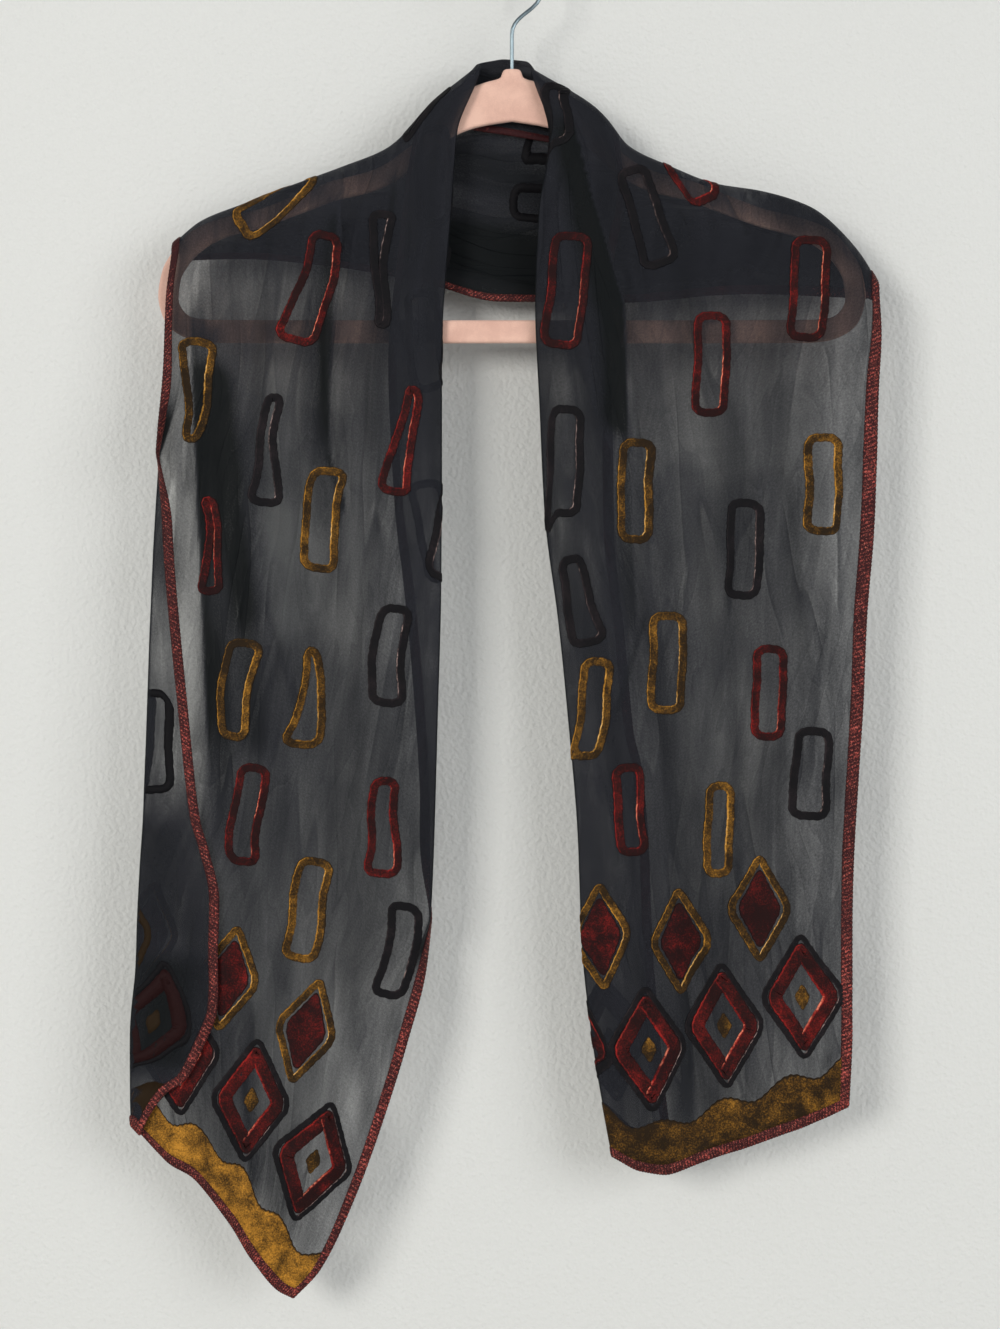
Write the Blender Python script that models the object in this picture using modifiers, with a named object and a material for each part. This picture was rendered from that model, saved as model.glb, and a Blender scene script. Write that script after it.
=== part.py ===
"""A long velvet scarf with bound edges, draped round the neck of a slim hanger.

Lengths are in millimetres until the meshes are made. The origin is the top of the inside of the
hanger's hook. X runs to the hanger's own left as seen from the front, which is the -Y side, and Z is up.

The scarf is one surface of two numbers. The first, called place, runs along it from the left hem to
the right hem: 0 to 1 is the left end in front, 1 to 2 the bend over the left shoulder of the hanger,
2 to 3 the stretch behind the neck, 3 to 4 the bend over the right shoulder, 4 to 5 the right end.
The second, called across, is 0 at the outer side of the main layer and 1 at its side by the neck.
"""

import math

import bpy
import numpy as np

MM = 0.001

# Cloth
CLOTH_WALL = 1.0
TAPE_WALL = 1.4
TAPE_WIDTH = 5.5
# Gaps on the wall's middle surface; where the cloth curves, the walls' faces come within 0.3 of each other.
SEAM_GAP = 0.8
CUT_GAP = 0.95
HEM_GAP = 0.9
BEND_RADIUS = 9.0
TURN_RADIUS = 1.8
HANG_DEPTH = 3.0
HANG_TOP = -250.0
HANG_RUN = 250.0
ROOM_RUN = 40.0
ROOM_AT_HANGER = 0.6
ROOM_BELOW = 6.0
LEFT_LENGTHS = (543.0, 772.0)
RIGHT_LENGTHS = (509.0, 673.0)

# The share of a stretch over which the shoulder's line, the hem's line and the folds fade
SHOULDER_FADE = 0.22
HEM_FADE = 0.2
FRONT_FOLD_FADE = 0.07
BACK_SHOULDER_FADE = 0.7
BACK_FOLD_FADE = 0.15
FOLD_END = 0.15

# Hanger
BODY_THICKNESS = 5.0
BODY_BEVEL = 1.0
NECK_BLOCK_WIDTH = 12.5
NECK_BLOCK_TOP = -75.6
WEB_TOP = -81.4
WEB_SHOULDER_X = 21.0
WEB_SHOULDER_Z = -83.2
HOOK_WIRE_RADIUS = 1.25
HOOK_RADIUS = 20.0
HOOK_STEM_TOP = -51.0
STEM_TURN_SHARE = 0.6
ROUND_START = math.radians(-51.0)
ROUND_END = math.radians(200.0)
SWING_ANGLE = math.radians(39.0)
SWING_LEAD = 9.0
STEM_LEAD = 8.0

# How many flat pieces stand for each curve
MAIN_COLUMNS = 18
TURN_COLUMNS = 3
FLAT_COLUMNS = 2
TAPE_COLUMNS = 3
BEND_ROWS = 3
LEFT_ROWS = 20
RIGHT_ROWS = 19
BACK_ROWS = 12
SWING_STEPS = 6
ROUND_STEPS = 20
TURN_SHARE = 0.85

# The left end in front: how far down it (0 at the shoulder, 1 at the hem), then the outer side and
# the side by the neck.
LEFT_END = {
    "down": (0.0, 0.05, 0.12, 0.2, 0.3, 0.4, 0.5, 0.65, 0.71, 0.77, 0.82, 0.9, 0.97, 1.0),
    "outer_x": (-212.5, -216.0, -217.3, -219.4, -222.8, -225.3, -227.2, -230.3, -232.3, -233.9,
                -234.8, -238.3, -238.1, -237.5),
    "outer_z": (-191.2, -218.2, -256.2, -299.6, -353.8, -408.1, -462.4, -543.9, -576.4, -609.0,
                -636.1, -679.4, -717.5, -733.8),
    "inner_x": (-37.5, -41.4, -42.4, -43.8, -43.8, -44.2, -46.2, -49.9, -54.0, -65.5, -76.7,
                -97.3, -120.5, -136.2),
    "inner_z": (-90.0, -128.0, -182.0, -243.8, -321.0, -398.2, -475.4, -591.2, -637.1, -682.0,
                -718.9, -777.0, -825.7, -842.5),
}

RIGHT_END = {
    "down": (0.0, 0.05, 0.12, 0.2, 0.3, 0.4, 0.5, 0.6, 0.7, 0.8, 0.9, 1.0),
    "outer_x": (229.4, 230.7, 228.7, 227.5, 225.3, 221.0, 218.8, 215.6, 212.7, 211.8, 211.9, 210.0),
    "outer_z": (-215.0, -240.3, -275.9, -316.6, -367.4, -418.0, -468.9, -519.7, -570.5, -621.4,
                -672.3, -723.1),
    "inner_x": (18.1, 20.0, 14.9, 14.4, 17.2, 20.4, 28.8, 35.5, 41.0, 43.5, 50.9, 62.5),
    "inner_z": (-85.0, -118.5, -165.3, -219.1, -286.3, -353.5, -420.2, -487.2, -554.1, -621.3,
                -688.1, -754.4),
}

# Behind the neck, from the left shoulder to the right: the lower, outer side and the fold at the top.
BACK = {
    "along": (0.0, 0.15, 0.3, 0.45, 0.55, 0.7, 0.85, 1.0),
    "outer_x": (-212.5, -170.0, -120.0, -57.5, -7.5, 68.8, 148.8, 229.4),
    "outer_z": (-191.2, -190.0, -194.0, -204.4, -216.9, -217.5, -212.0, -215.0),
    "inner_x": (-32.0, -27.0, -21.0, -12.0, -5.0, 4.0, 11.0, 16.0),
    "inner_z": (-84.0, -79.5, -74.5, -70.5, -69.5, -71.5, -76.5, -79.0),
}

# The line where the cloth lies over the hanger's shoulders, from the outer side to the neck.
SHOULDER = {
    "across": (0.0, 0.1, 0.25, 0.4, 0.55, 0.7, 0.8, 0.9, 1.0),
    "left_x": (-212.5, -195.0, -168.8, -138.8, -107.5, -79.4, -65.0, -52.5, -32.0),
    "left_z": (-182.2, -168.1, -160.0, -150.0, -140.6, -130.0, -116.9, -99.4, -75.0),
    "right_x": (229.4, 217.5, 187.5, 156.2, 128.8, 97.5, 73.8, 55.0, 16.0),
    "right_z": (-206.0, -186.9, -159.4, -149.4, -145.0, -133.8, -124.4, -101.2, -70.0),
}

# How far the hems dip below the straight line between their corners.
HEM = {
    "across": (0.0, 0.2, 0.4, 0.6, 0.75, 0.88, 1.0),
    "left": (0.0, 0.0, 8.0, 4.0, -4.0, -6.0, 0.0),
    "right": (0.0, -6.5, -10.5, -15.0, -18.0, -12.0, 0.0),
}

# The margin beyond each side of the main layer, and how far it is turned over, in degrees.
OUTER_MARGIN = {
    "place": (0.0, 0.03, 0.07, 0.1, 0.14, 0.18, 0.24, 0.29, 0.335, 0.365, 0.48, 0.6, 0.71, 0.76,
              0.82, 1.0, 5.0),
    "width": (12.5, 20.0, 33.0, 48.0, 56.0, 61.0, 58.0, 56.0, 47.0, 40.0, 29.0, 19.0, 13.0, 12.5,
              12.5, 12.5, 12.5),
    "turn": (180.0, 180.0, 180.0, 180.0, 180.0, 180.0, 180.0, 180.0, 180.0, 180.0, 180.0, 180.0,
             180.0, 90.0, 0.0, 0.0, 0.0),
}

INNER_MARGIN = {
    "place": (0.0, 0.24, 0.33, 0.42, 0.46, 0.515, 0.61, 0.67, 0.81, 1.0, 2.5, 4.0, 4.21, 4.435,
              4.59, 4.63, 4.845, 5.0),
    "width": (12.5, 12.5, 12.5, 13.0, 15.0, 19.0, 27.5, 33.0, 39.0, 41.0, 41.0, 46.0, 54.0, 48.0,
              45.0, 48.0, 47.0, 44.0),
    "turn": (0.0, 0.0, 90.0, 180.0, 180.0, 180.0, 180.0, 180.0, 180.0, 180.0, 180.0, 180.0, 180.0,
             180.0, 180.0, 180.0, 180.0, 180.0),
}

# The largest folds: where each begins and ends, its half width, and how far it stands out.
LEFT_FOLDS = (
    {"head": (-109.0, -170.0), "foot": (-114.0, -315.0), "half": 13.0, "rise": 3.0},
    {"head": (-192.0, -270.0), "foot": (-188.0, -507.0), "half": 13.0, "rise": -3.5},
    {"head": (-73.0, -332.0), "foot": (-82.0, -520.0), "half": 15.0, "rise": 4.0},
    {"head": (-139.0, -382.0), "foot": (-160.0, -575.0), "half": 17.0, "rise": 5.0},
    {"head": (-107.0, -420.0), "foot": (-132.0, -657.0), "half": 14.0, "rise": -4.0},
    {"head": (-172.0, -670.0), "foot": (-162.0, -765.0), "half": 13.0, "rise": -4.0},
    {"head": (-104.0, -657.0), "foot": (-143.0, -800.0), "half": 15.0, "rise": 5.0},
)

RIGHT_FOLDS = (
    {"head": (50.0, -160.0), "foot": (58.0, -420.0), "half": 13.0, "rise": 3.5},
    {"head": (78.0, -290.0), "foot": (84.0, -500.0), "half": 13.0, "rise": -3.0},
    {"head": (117.0, -345.0), "foot": (117.0, -600.0), "half": 16.0, "rise": 4.0},
    {"head": (153.0, -300.0), "foot": (146.0, -660.0), "half": 14.0, "rise": -4.0},
    {"head": (189.0, -314.0), "foot": (188.0, -700.0), "half": 14.0, "rise": 4.5},
    {"head": (82.0, -595.0), "foot": (86.0, -760.0), "half": 14.0, "rise": 4.5},
    {"head": (113.0, -626.0), "foot": (117.0, -760.0), "half": 13.0, "rise": -4.5},
    {"head": (150.0, -640.0), "foot": (153.0, -750.0), "half": 13.0, "rise": 3.0},
)

BACK_FOLDS = (
    {"head": (-90.0, -150.0), "foot": (90.0, -155.0), "half": 14.0, "rise": 3.5},
    {"head": (-110.0, -182.0), "foot": (100.0, -192.0), "half": 13.0, "rise": 3.0},
)

# The upper edge of the hanger's body, then the edge of its opening, each from the middle to the
# right. The left half mirrors it.
BODY_OUTLINE = {
    "x": (36.2, 46.9, 57.5, 68.8, 79.4, 90.6, 100.0, 112.5, 133.1, 158.1, 183.1, 200.0, 211.2,
          220.0, 222.5, 218.8, 211.2, 198.1, 185.0),
    "z": (-93.1, -106.2, -116.2, -125.0, -132.5, -137.5, -140.0, -143.1, -151.2, -160.6, -166.9,
          -173.8, -185.0, -200.0, -215.6, -230.6, -238.8, -243.8, -245.0),
}

OPENING_OUTLINE = {
    "x": (0.0, 20.6, 40.0, 52.5, 65.0, 77.5, 90.6, 109.4, 130.0, 156.2, 178.8, 192.5, 202.5,
          208.8, 210.0, 206.2, 200.0, 187.5),
    "z": (-108.1, -110.0, -118.8, -127.5, -137.5, -145.6, -150.6, -155.0, -162.5, -171.9, -178.1,
          -185.0, -194.4, -206.2, -217.5, -225.6, -229.4, -230.6),
}

MATERIALS = {
    "sheer_cloth": {"colour": (0.016, 0.018, 0.028), "roughness": 0.75, "metallic": 0.0},
    "velvet_tape": {"colour": (0.19, 0.022, 0.02), "roughness": 0.9, "metallic": 0.0},
    "flocked_body": {"colour": (0.86, 0.54, 0.43), "roughness": 0.95, "metallic": 0.0},
    "wire": {"colour": (0.42, 0.46, 0.48), "roughness": 0.3, "metallic": 1.0},
}


def blend(low, high, share):
    """The value that lies this share of the way from low to high."""
    return low + (high - low) * share


def ease(value):
    """0 up to 0, 1 from 1, and a smooth step between them."""
    t = np.clip(value, 0.0, 1.0)
    return t * t * (3.0 - 2.0 * t)


def read(table, key, name, at):
    """A smooth curve through one column of a table: cubic pieces whose slopes never overshoot."""
    known = np.array(table[key])
    values = np.array(table[name])
    steps = np.diff(known)
    slopes = np.diff(values) / steps
    inner = np.where(
        slopes[1:] * slopes[:-1] > 0.0,
        2.0 * slopes[1:] * slopes[:-1] / np.where(slopes[1:] + slopes[:-1] == 0.0, 1.0,
                                                 slopes[1:] + slopes[:-1]),
        0.0,
    )
    tangents = np.concatenate([slopes[:1], inner, slopes[-1:]])
    at = np.clip(at, known[0], known[-1])
    cell = np.clip(np.searchsorted(known, at, side="right") - 1, 0, len(steps) - 1)
    span = steps[cell]
    t = (at - known[cell]) / span
    rest = 1.0 - t
    return (
        values[cell] * (1.0 + 2.0 * t) * rest**2
        + values[cell + 1] * (3.0 - 2.0 * t) * t**2
        + span * tangents[cell] * t * rest**2
        - span * tangents[cell + 1] * rest * t**2
    )


def fold_height(folds, x, z):
    """The sum of soft ridges and troughs, each a bell across its line that fades out at both ends."""
    total = np.zeros_like(x)
    for fold in folds:
        head = np.array(fold["head"])
        line = np.array(fold["foot"]) - head
        length = np.hypot(*line)
        along = ((x - head[0]) * line[0] + (z - head[1]) * line[1]) / length**2
        off = ((x - head[0]) * line[1] - (z - head[1]) * line[0]) / length
        window = ease((along + FOLD_END) / (2.0 * FOLD_END))
        window = window * ease((1.0 + FOLD_END - along) / (2.0 * FOLD_END))
        total = total + fold["rise"] * np.exp(-((off / fold["half"]) ** 2)) * window
    return total


def shoulder(side, across):
    """The point on the shoulder line of a side, carried on straight past its two ends."""
    ends = {"left": LEFT_END, "right": RIGHT_END}[side]
    held = np.clip(across, 0.0, 1.0)
    past = across - held
    x = read(SHOULDER, "across", side + "_x", held)
    z = read(SHOULDER, "across", side + "_z", held)
    x = x + past * (ends["inner_x"][0] - ends["outer_x"][0])
    z = z + past * (ends["inner_z"][0] - ends["outer_z"][0])
    return x, z


def straight(table, key, at, across):
    """The point on the straight row between the outer and the inner side of a table."""
    x = blend(read(table, key, "outer_x", at), read(table, key, "inner_x", at), across)
    z = blend(read(table, key, "outer_z", at), read(table, key, "inner_z", at), across)
    return x, z


def front_point(side, down, across, lift):
    """A point of an end that hangs in front, lifted from the main layer towards the viewer."""
    ends = {"left": LEFT_END, "right": RIGHT_END}[side]
    folds = {"left": LEFT_FOLDS, "right": RIGHT_FOLDS}[side]
    x, z = straight(ends, "down", down, across)
    start_x, start_z = straight(ends, "down", np.zeros_like(down), across)
    over_x, over_z = shoulder(side, across)
    near = 1.0 - ease(down / SHOULDER_FADE)
    x = x + (over_x - start_x) * near
    z = z + (over_z - BEND_RADIUS - start_z) * near
    dip = read(HEM, "across", side, np.clip(across, 0.0, 1.0))
    z = z + dip * ease((down - 1.0 + HEM_FADE) / HEM_FADE)
    fold = fold_height(folds, x, z) * ease(down / FRONT_FOLD_FADE)
    room = blend(ROOM_AT_HANGER, ROOM_BELOW, ease((HANG_TOP - z) / ROOM_RUN))
    fold = np.maximum(fold, -room)
    y = -BEND_RADIUS - HANG_DEPTH * ease((HANG_TOP - z) / HANG_RUN) - fold - lift
    return np.stack([x, y, z], -1)


def bend_point(side, turned, across, lift):
    """A point of the bend over a shoulder; turned runs from 0 in front to 1 behind."""
    x, z = shoulder(side, across)
    angle = turned * math.pi
    radius = BEND_RADIUS + lift
    y = -radius * np.cos(angle)
    z = z - BEND_RADIUS + radius * np.sin(angle)
    return np.stack([x, y, z], -1)


def back_point(along, across, lift):
    """A point behind the neck; lift is away from the hanger, towards +Y."""
    x, z = straight(BACK, "along", along, across)
    for side, near, end in (("left", along, 0.0), ("right", 1.0 - along, 1.0)):
        start_x, start_z = straight(BACK, "along", np.full_like(along, end), across)
        over_x, over_z = shoulder(side, across)
        share = 1.0 - ease(near / BACK_SHOULDER_FADE)
        x = x + (over_x - start_x) * share
        z = z + (over_z - BEND_RADIUS - start_z) * share
    fade = ease(along / BACK_FOLD_FADE) * ease((1.0 - along) / BACK_FOLD_FADE)
    fold = fold_height(BACK_FOLDS, x, z) * fade
    return np.stack([x, BEND_RADIUS + fold + lift, z], -1)


def scarf_point(place, across, lift):
    """The whole scarf's main layer, lifted away from the hanger's side of the cloth."""
    place, across, lift = np.broadcast_arrays(place, across, lift)
    pieces = (
        (place < 1.0, front_point("left", np.clip(1.0 - place, 0.0, 1.0), across, lift)),
        (place < 2.0, bend_point("left", np.clip(place - 1.0, 0.0, 1.0), across, lift)),
        (place < 3.0, back_point(np.clip(place - 2.0, 0.0, 1.0), across, lift)),
        (place < 4.0, bend_point("right", np.clip(4.0 - place, 0.0, 1.0), across, lift)),
        (place < 9.0, front_point("right", np.clip(place - 4.0, 0.0, 1.0), across, lift)),
    )
    points = np.zeros(place.shape + (3,))
    free = np.ones(place.shape, bool)
    for inside, values in pieces:
        points[free & inside] = values[free & inside]
        free &= ~inside
    return points


def margin_reach(width, turn):
    """How far a margin reaches past the line where it begins to turn over."""
    arc = np.minimum(width, TURN_RADIUS * turn)
    angle = arc / TURN_RADIUS
    flat = TURN_RADIUS * np.sin(angle) + (width - arc) * np.cos(angle)
    return np.where(angle > math.pi / 2.0, TURN_RADIUS, flat)


def margin_step(distance, turn):
    """Where a point of a margin lies: how far out past the turn line, and how far off the layer."""
    arc = np.minimum(distance, TURN_RADIUS * turn)
    angle = arc / TURN_RADIUS
    out = TURN_RADIUS * np.sin(angle) + (distance - arc) * np.cos(turn)
    off = TURN_RADIUS * (1.0 - np.cos(angle)) + (distance - arc) * np.sin(turn)
    return out, off


def row_width(place):
    """The length of a row between the two outlines."""
    return np.linalg.norm(scarf_point(place, 1.0, 0.0) - scarf_point(place, 0.0, 0.0), axis=-1)


def profile_point(place, kind, amount):
    """A point of the scarf. kind is main (amount 0 to 1 across), outer or inner (amount is how far
    out on that margin, in millimetres)."""
    width = row_width(place)
    outer_turn = np.radians(read(OUTER_MARGIN, "place", "turn", place))
    inner_turn = np.radians(read(INNER_MARGIN, "place", "turn", place))
    outer_reach = margin_reach(read(OUTER_MARGIN, "place", "width", place), outer_turn)
    inner_reach = margin_reach(read(INNER_MARGIN, "place", "width", place), inner_turn)
    low = outer_reach / width
    high = 1.0 - inner_reach / width
    if kind == "outer":
        out, off = margin_step(amount, outer_turn)
        return scarf_point(place, low - out / width, off)
    if kind == "inner":
        out, off = margin_step(amount, inner_turn)
        return scarf_point(place, high + out / width, -off)
    return scarf_point(place, blend(low, high, amount), 0.0)


def margin_columns(place, table):
    """The places of a margin's columns: some round its turn, the rest on the flat, up to the tape."""
    end = read(table, "place", "width", place) - TAPE_WIDTH - SEAM_GAP
    bend = np.minimum(math.pi * TURN_RADIUS, TURN_SHARE * end)
    turned = [bend * n / TURN_COLUMNS for n in range(1, TURN_COLUMNS + 1)]
    flat = [blend(bend, end, n / FLAT_COLUMNS) for n in range(1, FLAT_COLUMNS + 1)]
    return turned + flat


def hem_place(from_hem, across):
    """The share of an end's length that a distance up from its hem takes, on both ends."""
    left = from_hem / blend(*LEFT_LENGTHS, across)
    right = 5.0 - from_hem / blend(*RIGHT_LENGTHS, across)
    return left, right


def stretch_places(name, from_hem, across):
    """The row places of one stretch, with its hem end at from_hem above the hem."""
    half_gap = 0.5 * CUT_GAP / (BEND_RADIUS * math.pi)
    bend = np.linspace(0.0, 0.5, BEND_ROWS + 1)[1:]
    left_hem, right_hem = hem_place(from_hem, across)
    if name == "left":
        front = blend(left_hem, 1.0, np.linspace(0.0, 1.0, LEFT_ROWS + 1))
        rows = np.concatenate([front, 1.0 + bend])
        rows[-1] -= half_gap
        return rows
    if name == "right":
        front = blend(4.0, right_hem, np.linspace(0.0, 1.0, RIGHT_ROWS + 1))
        rows = np.concatenate([4.0 - bend[::-1], front])
        rows[0] += half_gap
        return rows
    middle = np.linspace(2.0, 3.0, BACK_ROWS + 1)
    down = 1.5 + bend[:-1]
    up = 3.5 - bend[:-1][::-1]
    return np.concatenate([[1.5 + half_gap], down, middle, up, [3.5 - half_gap]])


def cloth_grid(name):
    """The points of one stretch of cloth: rows along the scarf, columns from edge to edge."""
    columns = []
    for kind, count in (("outer", TURN_COLUMNS + FLAT_COLUMNS), ("main", MAIN_COLUMNS + 1),
                        ("inner", TURN_COLUMNS + FLAT_COLUMNS)):
        for index in range(count):
            share = index / MAIN_COLUMNS if kind == "main" else float(kind == "inner")
            place = stretch_places(name, TAPE_WIDTH + HEM_GAP, share)
            if kind == "main":
                columns.append(profile_point(place, kind, share))
            else:
                table = OUTER_MARGIN if kind == "outer" else INNER_MARGIN
                columns.append(profile_point(place, kind, margin_columns(place, table)[index]))
    outer = columns[: TURN_COLUMNS + FLAT_COLUMNS][::-1]
    return np.stack(outer + columns[TURN_COLUMNS + FLAT_COLUMNS:], 1)


def edge_tape_grid(name, kind):
    """The points of one stretch of the tape along an edge."""
    table = OUTER_MARGIN if kind == "outer" else INNER_MARGIN
    place = stretch_places(name, TAPE_WIDTH + HEM_GAP, float(kind == "inner"))
    end = read(table, "place", "width", place)
    columns = [
        profile_point(place, kind, end - TAPE_WIDTH * (1.0 - n / TAPE_COLUMNS))
        for n in range(TAPE_COLUMNS + 1)
    ]
    if kind == "outer":
        columns = columns[::-1]
    return np.stack(columns, 1)


def hem_tape_row(which, from_hem):
    """One long line of a hem's tape, with the cloth's own columns and then the edge tapes'."""
    row = []
    for kind in ("outer", "main", "inner"):
        if kind == "main":
            for index in range(MAIN_COLUMNS + 1):
                share = index / MAIN_COLUMNS
                place = np.array([hem_place(from_hem, share)[which]])
                row.append(profile_point(place, kind, share)[0])
            continue
        table = OUTER_MARGIN if kind == "outer" else INNER_MARGIN
        place = np.array([hem_place(from_hem, float(kind == "inner"))[which]])
        amounts = margin_columns(place, table)
        width = read(table, "place", "width", place)
        amounts += [width - TAPE_WIDTH * (1.0 - n / TAPE_COLUMNS) for n in range(TAPE_COLUMNS + 1)]
        side = [profile_point(place, kind, amount)[0] for amount in amounts]
        row += side[::-1] if kind == "outer" else side
    return row


def hem_tape_grid(side):
    """The points of a hem's tape, edge to edge."""
    which = ("left", "right").index(side)
    rows = np.array([hem_tape_row(which, TAPE_WIDTH), hem_tape_row(which, 0.0)])
    return rows if side == "right" else rows[::-1]


def material(name):
    look = MATERIALS[name]
    made = bpy.data.materials.new(name)
    made.use_nodes = True
    shader = made.node_tree.nodes["Principled BSDF"]
    shader.inputs["Base Color"].default_value = (*look["colour"], 1.0)
    shader.inputs["Roughness"].default_value = look["roughness"]
    shader.inputs["Metallic"].default_value = look["metallic"]
    return made


def sheet_object(name, grid, wall, look, home):
    """A sheet of square faces through a grid of points, thickened to a closed wall."""
    rows, columns = grid.shape[:2]
    number = np.arange(rows * columns).reshape(rows, columns)
    faces = np.stack([number[:-1, :-1], number[1:, :-1], number[1:, 1:], number[:-1, 1:]], -1)
    mesh = bpy.data.meshes.new(name)
    mesh.from_pydata((grid.reshape(-1, 3) * MM).tolist(), [], faces.reshape(-1, 4).tolist())
    made = bpy.data.objects.new(name, mesh)
    home.objects.link(made)
    mesh.materials.append(look)
    shell = made.modifiers.new("wall", "SOLIDIFY")
    shell.thickness = wall * MM
    shell.offset = 0.0
    shell.use_even_offset = True
    shell.thickness_clamp = 0.0
    return made


def mirrored(table, first):
    """A closed half outline and its mirror image, as points round the whole."""
    right = list(first) + list(zip(table["x"], table["z"]))
    left = [(-x, z) for x, z in reversed(right) if x > 0.0]
    return right + left


def hanger_body(home, look):
    """The flat body: its outline and its opening as one filled curve, with softened edges."""
    half = NECK_BLOCK_WIDTH / 2.0
    head = [(half, NECK_BLOCK_TOP), (half, WEB_TOP), (WEB_SHOULDER_X, WEB_SHOULDER_Z)]
    outline = mirrored(BODY_OUTLINE, head)
    opening = mirrored(OPENING_OUTLINE, [])
    curve = bpy.data.curves.new("hanger_body", "CURVE")
    curve.dimensions = "2D"
    curve.fill_mode = "BOTH"
    curve.extrude = (BODY_THICKNESS / 2.0 - BODY_BEVEL) * MM
    curve.bevel_depth = BODY_BEVEL * MM
    curve.bevel_resolution = 0
    curve.offset = -BODY_BEVEL * MM
    for points in (outline, opening):
        spline = curve.splines.new("POLY")
        spline.points.add(len(points) - 1)
        for point, (x, z) in zip(spline.points, points):
            point.co = (x * MM, z * MM, 0.0, 1.0)
        spline.use_cyclic_u = True
    made = bpy.data.objects.new("hanger_body", curve)
    made.rotation_euler = (math.pi / 2.0, 0.0, 0.0)
    curve.materials.append(look)
    home.objects.link(made)


def hook_points():
    """The wire's middle line: a straight stem, a swing to the right, then most of a round."""
    centre_z = HOOK_WIRE_RADIUS - HOOK_RADIUS
    points = [
        (0.0, NECK_BLOCK_TOP + SEAM_GAP),
        (0.0, blend(NECK_BLOCK_TOP, HOOK_STEM_TOP, STEM_TURN_SHARE)),
    ]
    start_x = HOOK_RADIUS * math.cos(ROUND_START)
    start_z = centre_z + HOOK_RADIUS * math.sin(ROUND_START)
    lead_x = start_x - SWING_LEAD * math.cos(SWING_ANGLE)
    lead_z = start_z - SWING_LEAD * math.sin(SWING_ANGLE)
    for n in range(SWING_STEPS):
        t = n / SWING_STEPS
        rest = 1.0 - t
        x = 3.0 * rest * t**2 * lead_x + t**3 * start_x
        z = rest**3 * HOOK_STEM_TOP + 3.0 * rest**2 * t * (HOOK_STEM_TOP + STEM_LEAD)
        z += 3.0 * rest * t**2 * lead_z + t**3 * start_z
        points.append((x, z))
    for n in range(ROUND_STEPS + 1):
        angle = blend(ROUND_START, ROUND_END, n / ROUND_STEPS)
        points.append((HOOK_RADIUS * math.cos(angle), centre_z + HOOK_RADIUS * math.sin(angle)))
    return points


def hook(home, look):
    """The wire hook, with flat ends."""
    points = hook_points()
    curve = bpy.data.curves.new("hook", "CURVE")
    curve.dimensions = "3D"
    curve.bevel_depth = HOOK_WIRE_RADIUS * MM
    curve.bevel_resolution = 2
    curve.use_fill_caps = True
    spline = curve.splines.new("POLY")
    spline.points.add(len(points) - 1)
    for point, (x, z) in zip(spline.points, points):
        point.co = (x * MM, 0.0, z * MM, 1.0)
    made = bpy.data.objects.new("hook", curve)
    curve.materials.append(look)
    home.objects.link(made)


def main():
    for old in list(bpy.data.objects):
        bpy.data.objects.remove(old, do_unlink=True)
    home = bpy.data.collections.new("velvet_scarf")
    bpy.context.scene.collection.children.link(home)
    names = {"left": "cloth_left_end", "back": "cloth_behind_neck", "right": "cloth_right_end"}
    for name, node in names.items():
        sheet_object(node, cloth_grid(name), CLOTH_WALL, material("sheer_cloth"), home)
        for kind in ("outer", "inner"):
            tape = f"{kind}_binding_{name}"
            sheet_object(tape, edge_tape_grid(name, kind), TAPE_WALL, material("velvet_tape"), home)
    for side in ("left", "right"):
        sheet_object(f"hem_binding_{side}", hem_tape_grid(side), TAPE_WALL, material("velvet_tape"), home)
    hanger_body(home, material("flocked_body"))
    hook(home, material("wire"))


main()
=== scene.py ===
"""The looks of a long burnout velvet scarf that hangs over a slim flocked hanger.

Tables and sizes are in millimetres; meshes are in metres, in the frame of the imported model. The
origin is the top of the inside of the hook. The front is the -Y side, X runs to the right as seen
from there, and Z is up. Left and right are meant as seen from the front.

The scarf is one surface of two numbers. The first, called place, runs along it from the left hem to
the right hem: 0 to 1 is the left end in front, 1 to 2 the bend over the left shoulder, 2 to 3 the
stretch behind the neck, 3 to 4 the bend over the right shoulder, 4 to 5 the right end. The second,
called across, is 0 at the outer side of the main layer and 1 at its side by the neck. The pile, the
bindings and the weave are placed on the flat cloth instead: so far in from the outer edge, and so
far on from the left hem.
"""

import functools
import math
from collections import namedtuple

import bmesh
import bpy
import numpy as np
from bpy.props import FloatProperty, FloatVectorProperty, IntProperty, PointerProperty
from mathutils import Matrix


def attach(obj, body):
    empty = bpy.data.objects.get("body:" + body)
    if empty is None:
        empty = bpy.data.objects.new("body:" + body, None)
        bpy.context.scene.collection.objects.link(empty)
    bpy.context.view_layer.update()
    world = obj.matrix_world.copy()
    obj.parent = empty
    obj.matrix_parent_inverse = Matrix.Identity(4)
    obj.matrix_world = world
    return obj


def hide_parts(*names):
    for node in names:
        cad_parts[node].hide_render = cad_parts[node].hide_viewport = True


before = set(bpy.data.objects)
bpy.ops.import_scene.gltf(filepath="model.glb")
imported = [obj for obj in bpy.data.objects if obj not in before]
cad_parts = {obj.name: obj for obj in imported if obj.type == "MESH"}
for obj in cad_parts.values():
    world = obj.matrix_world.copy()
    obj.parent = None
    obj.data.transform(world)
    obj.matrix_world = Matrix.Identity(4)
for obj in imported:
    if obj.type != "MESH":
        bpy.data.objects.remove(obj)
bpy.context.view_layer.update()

bl_info = {
    "name": "Velvet scarf on a hanger",
    "version": (1, 0, 0),
    "blender": (4, 5, 0),
    "location": "View3D > Sidebar > Scarf",
    "description": "Builds a draped burnout velvet scarf with pile motifs, bound edges and its hanger",
    "category": "Object",
}

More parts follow.
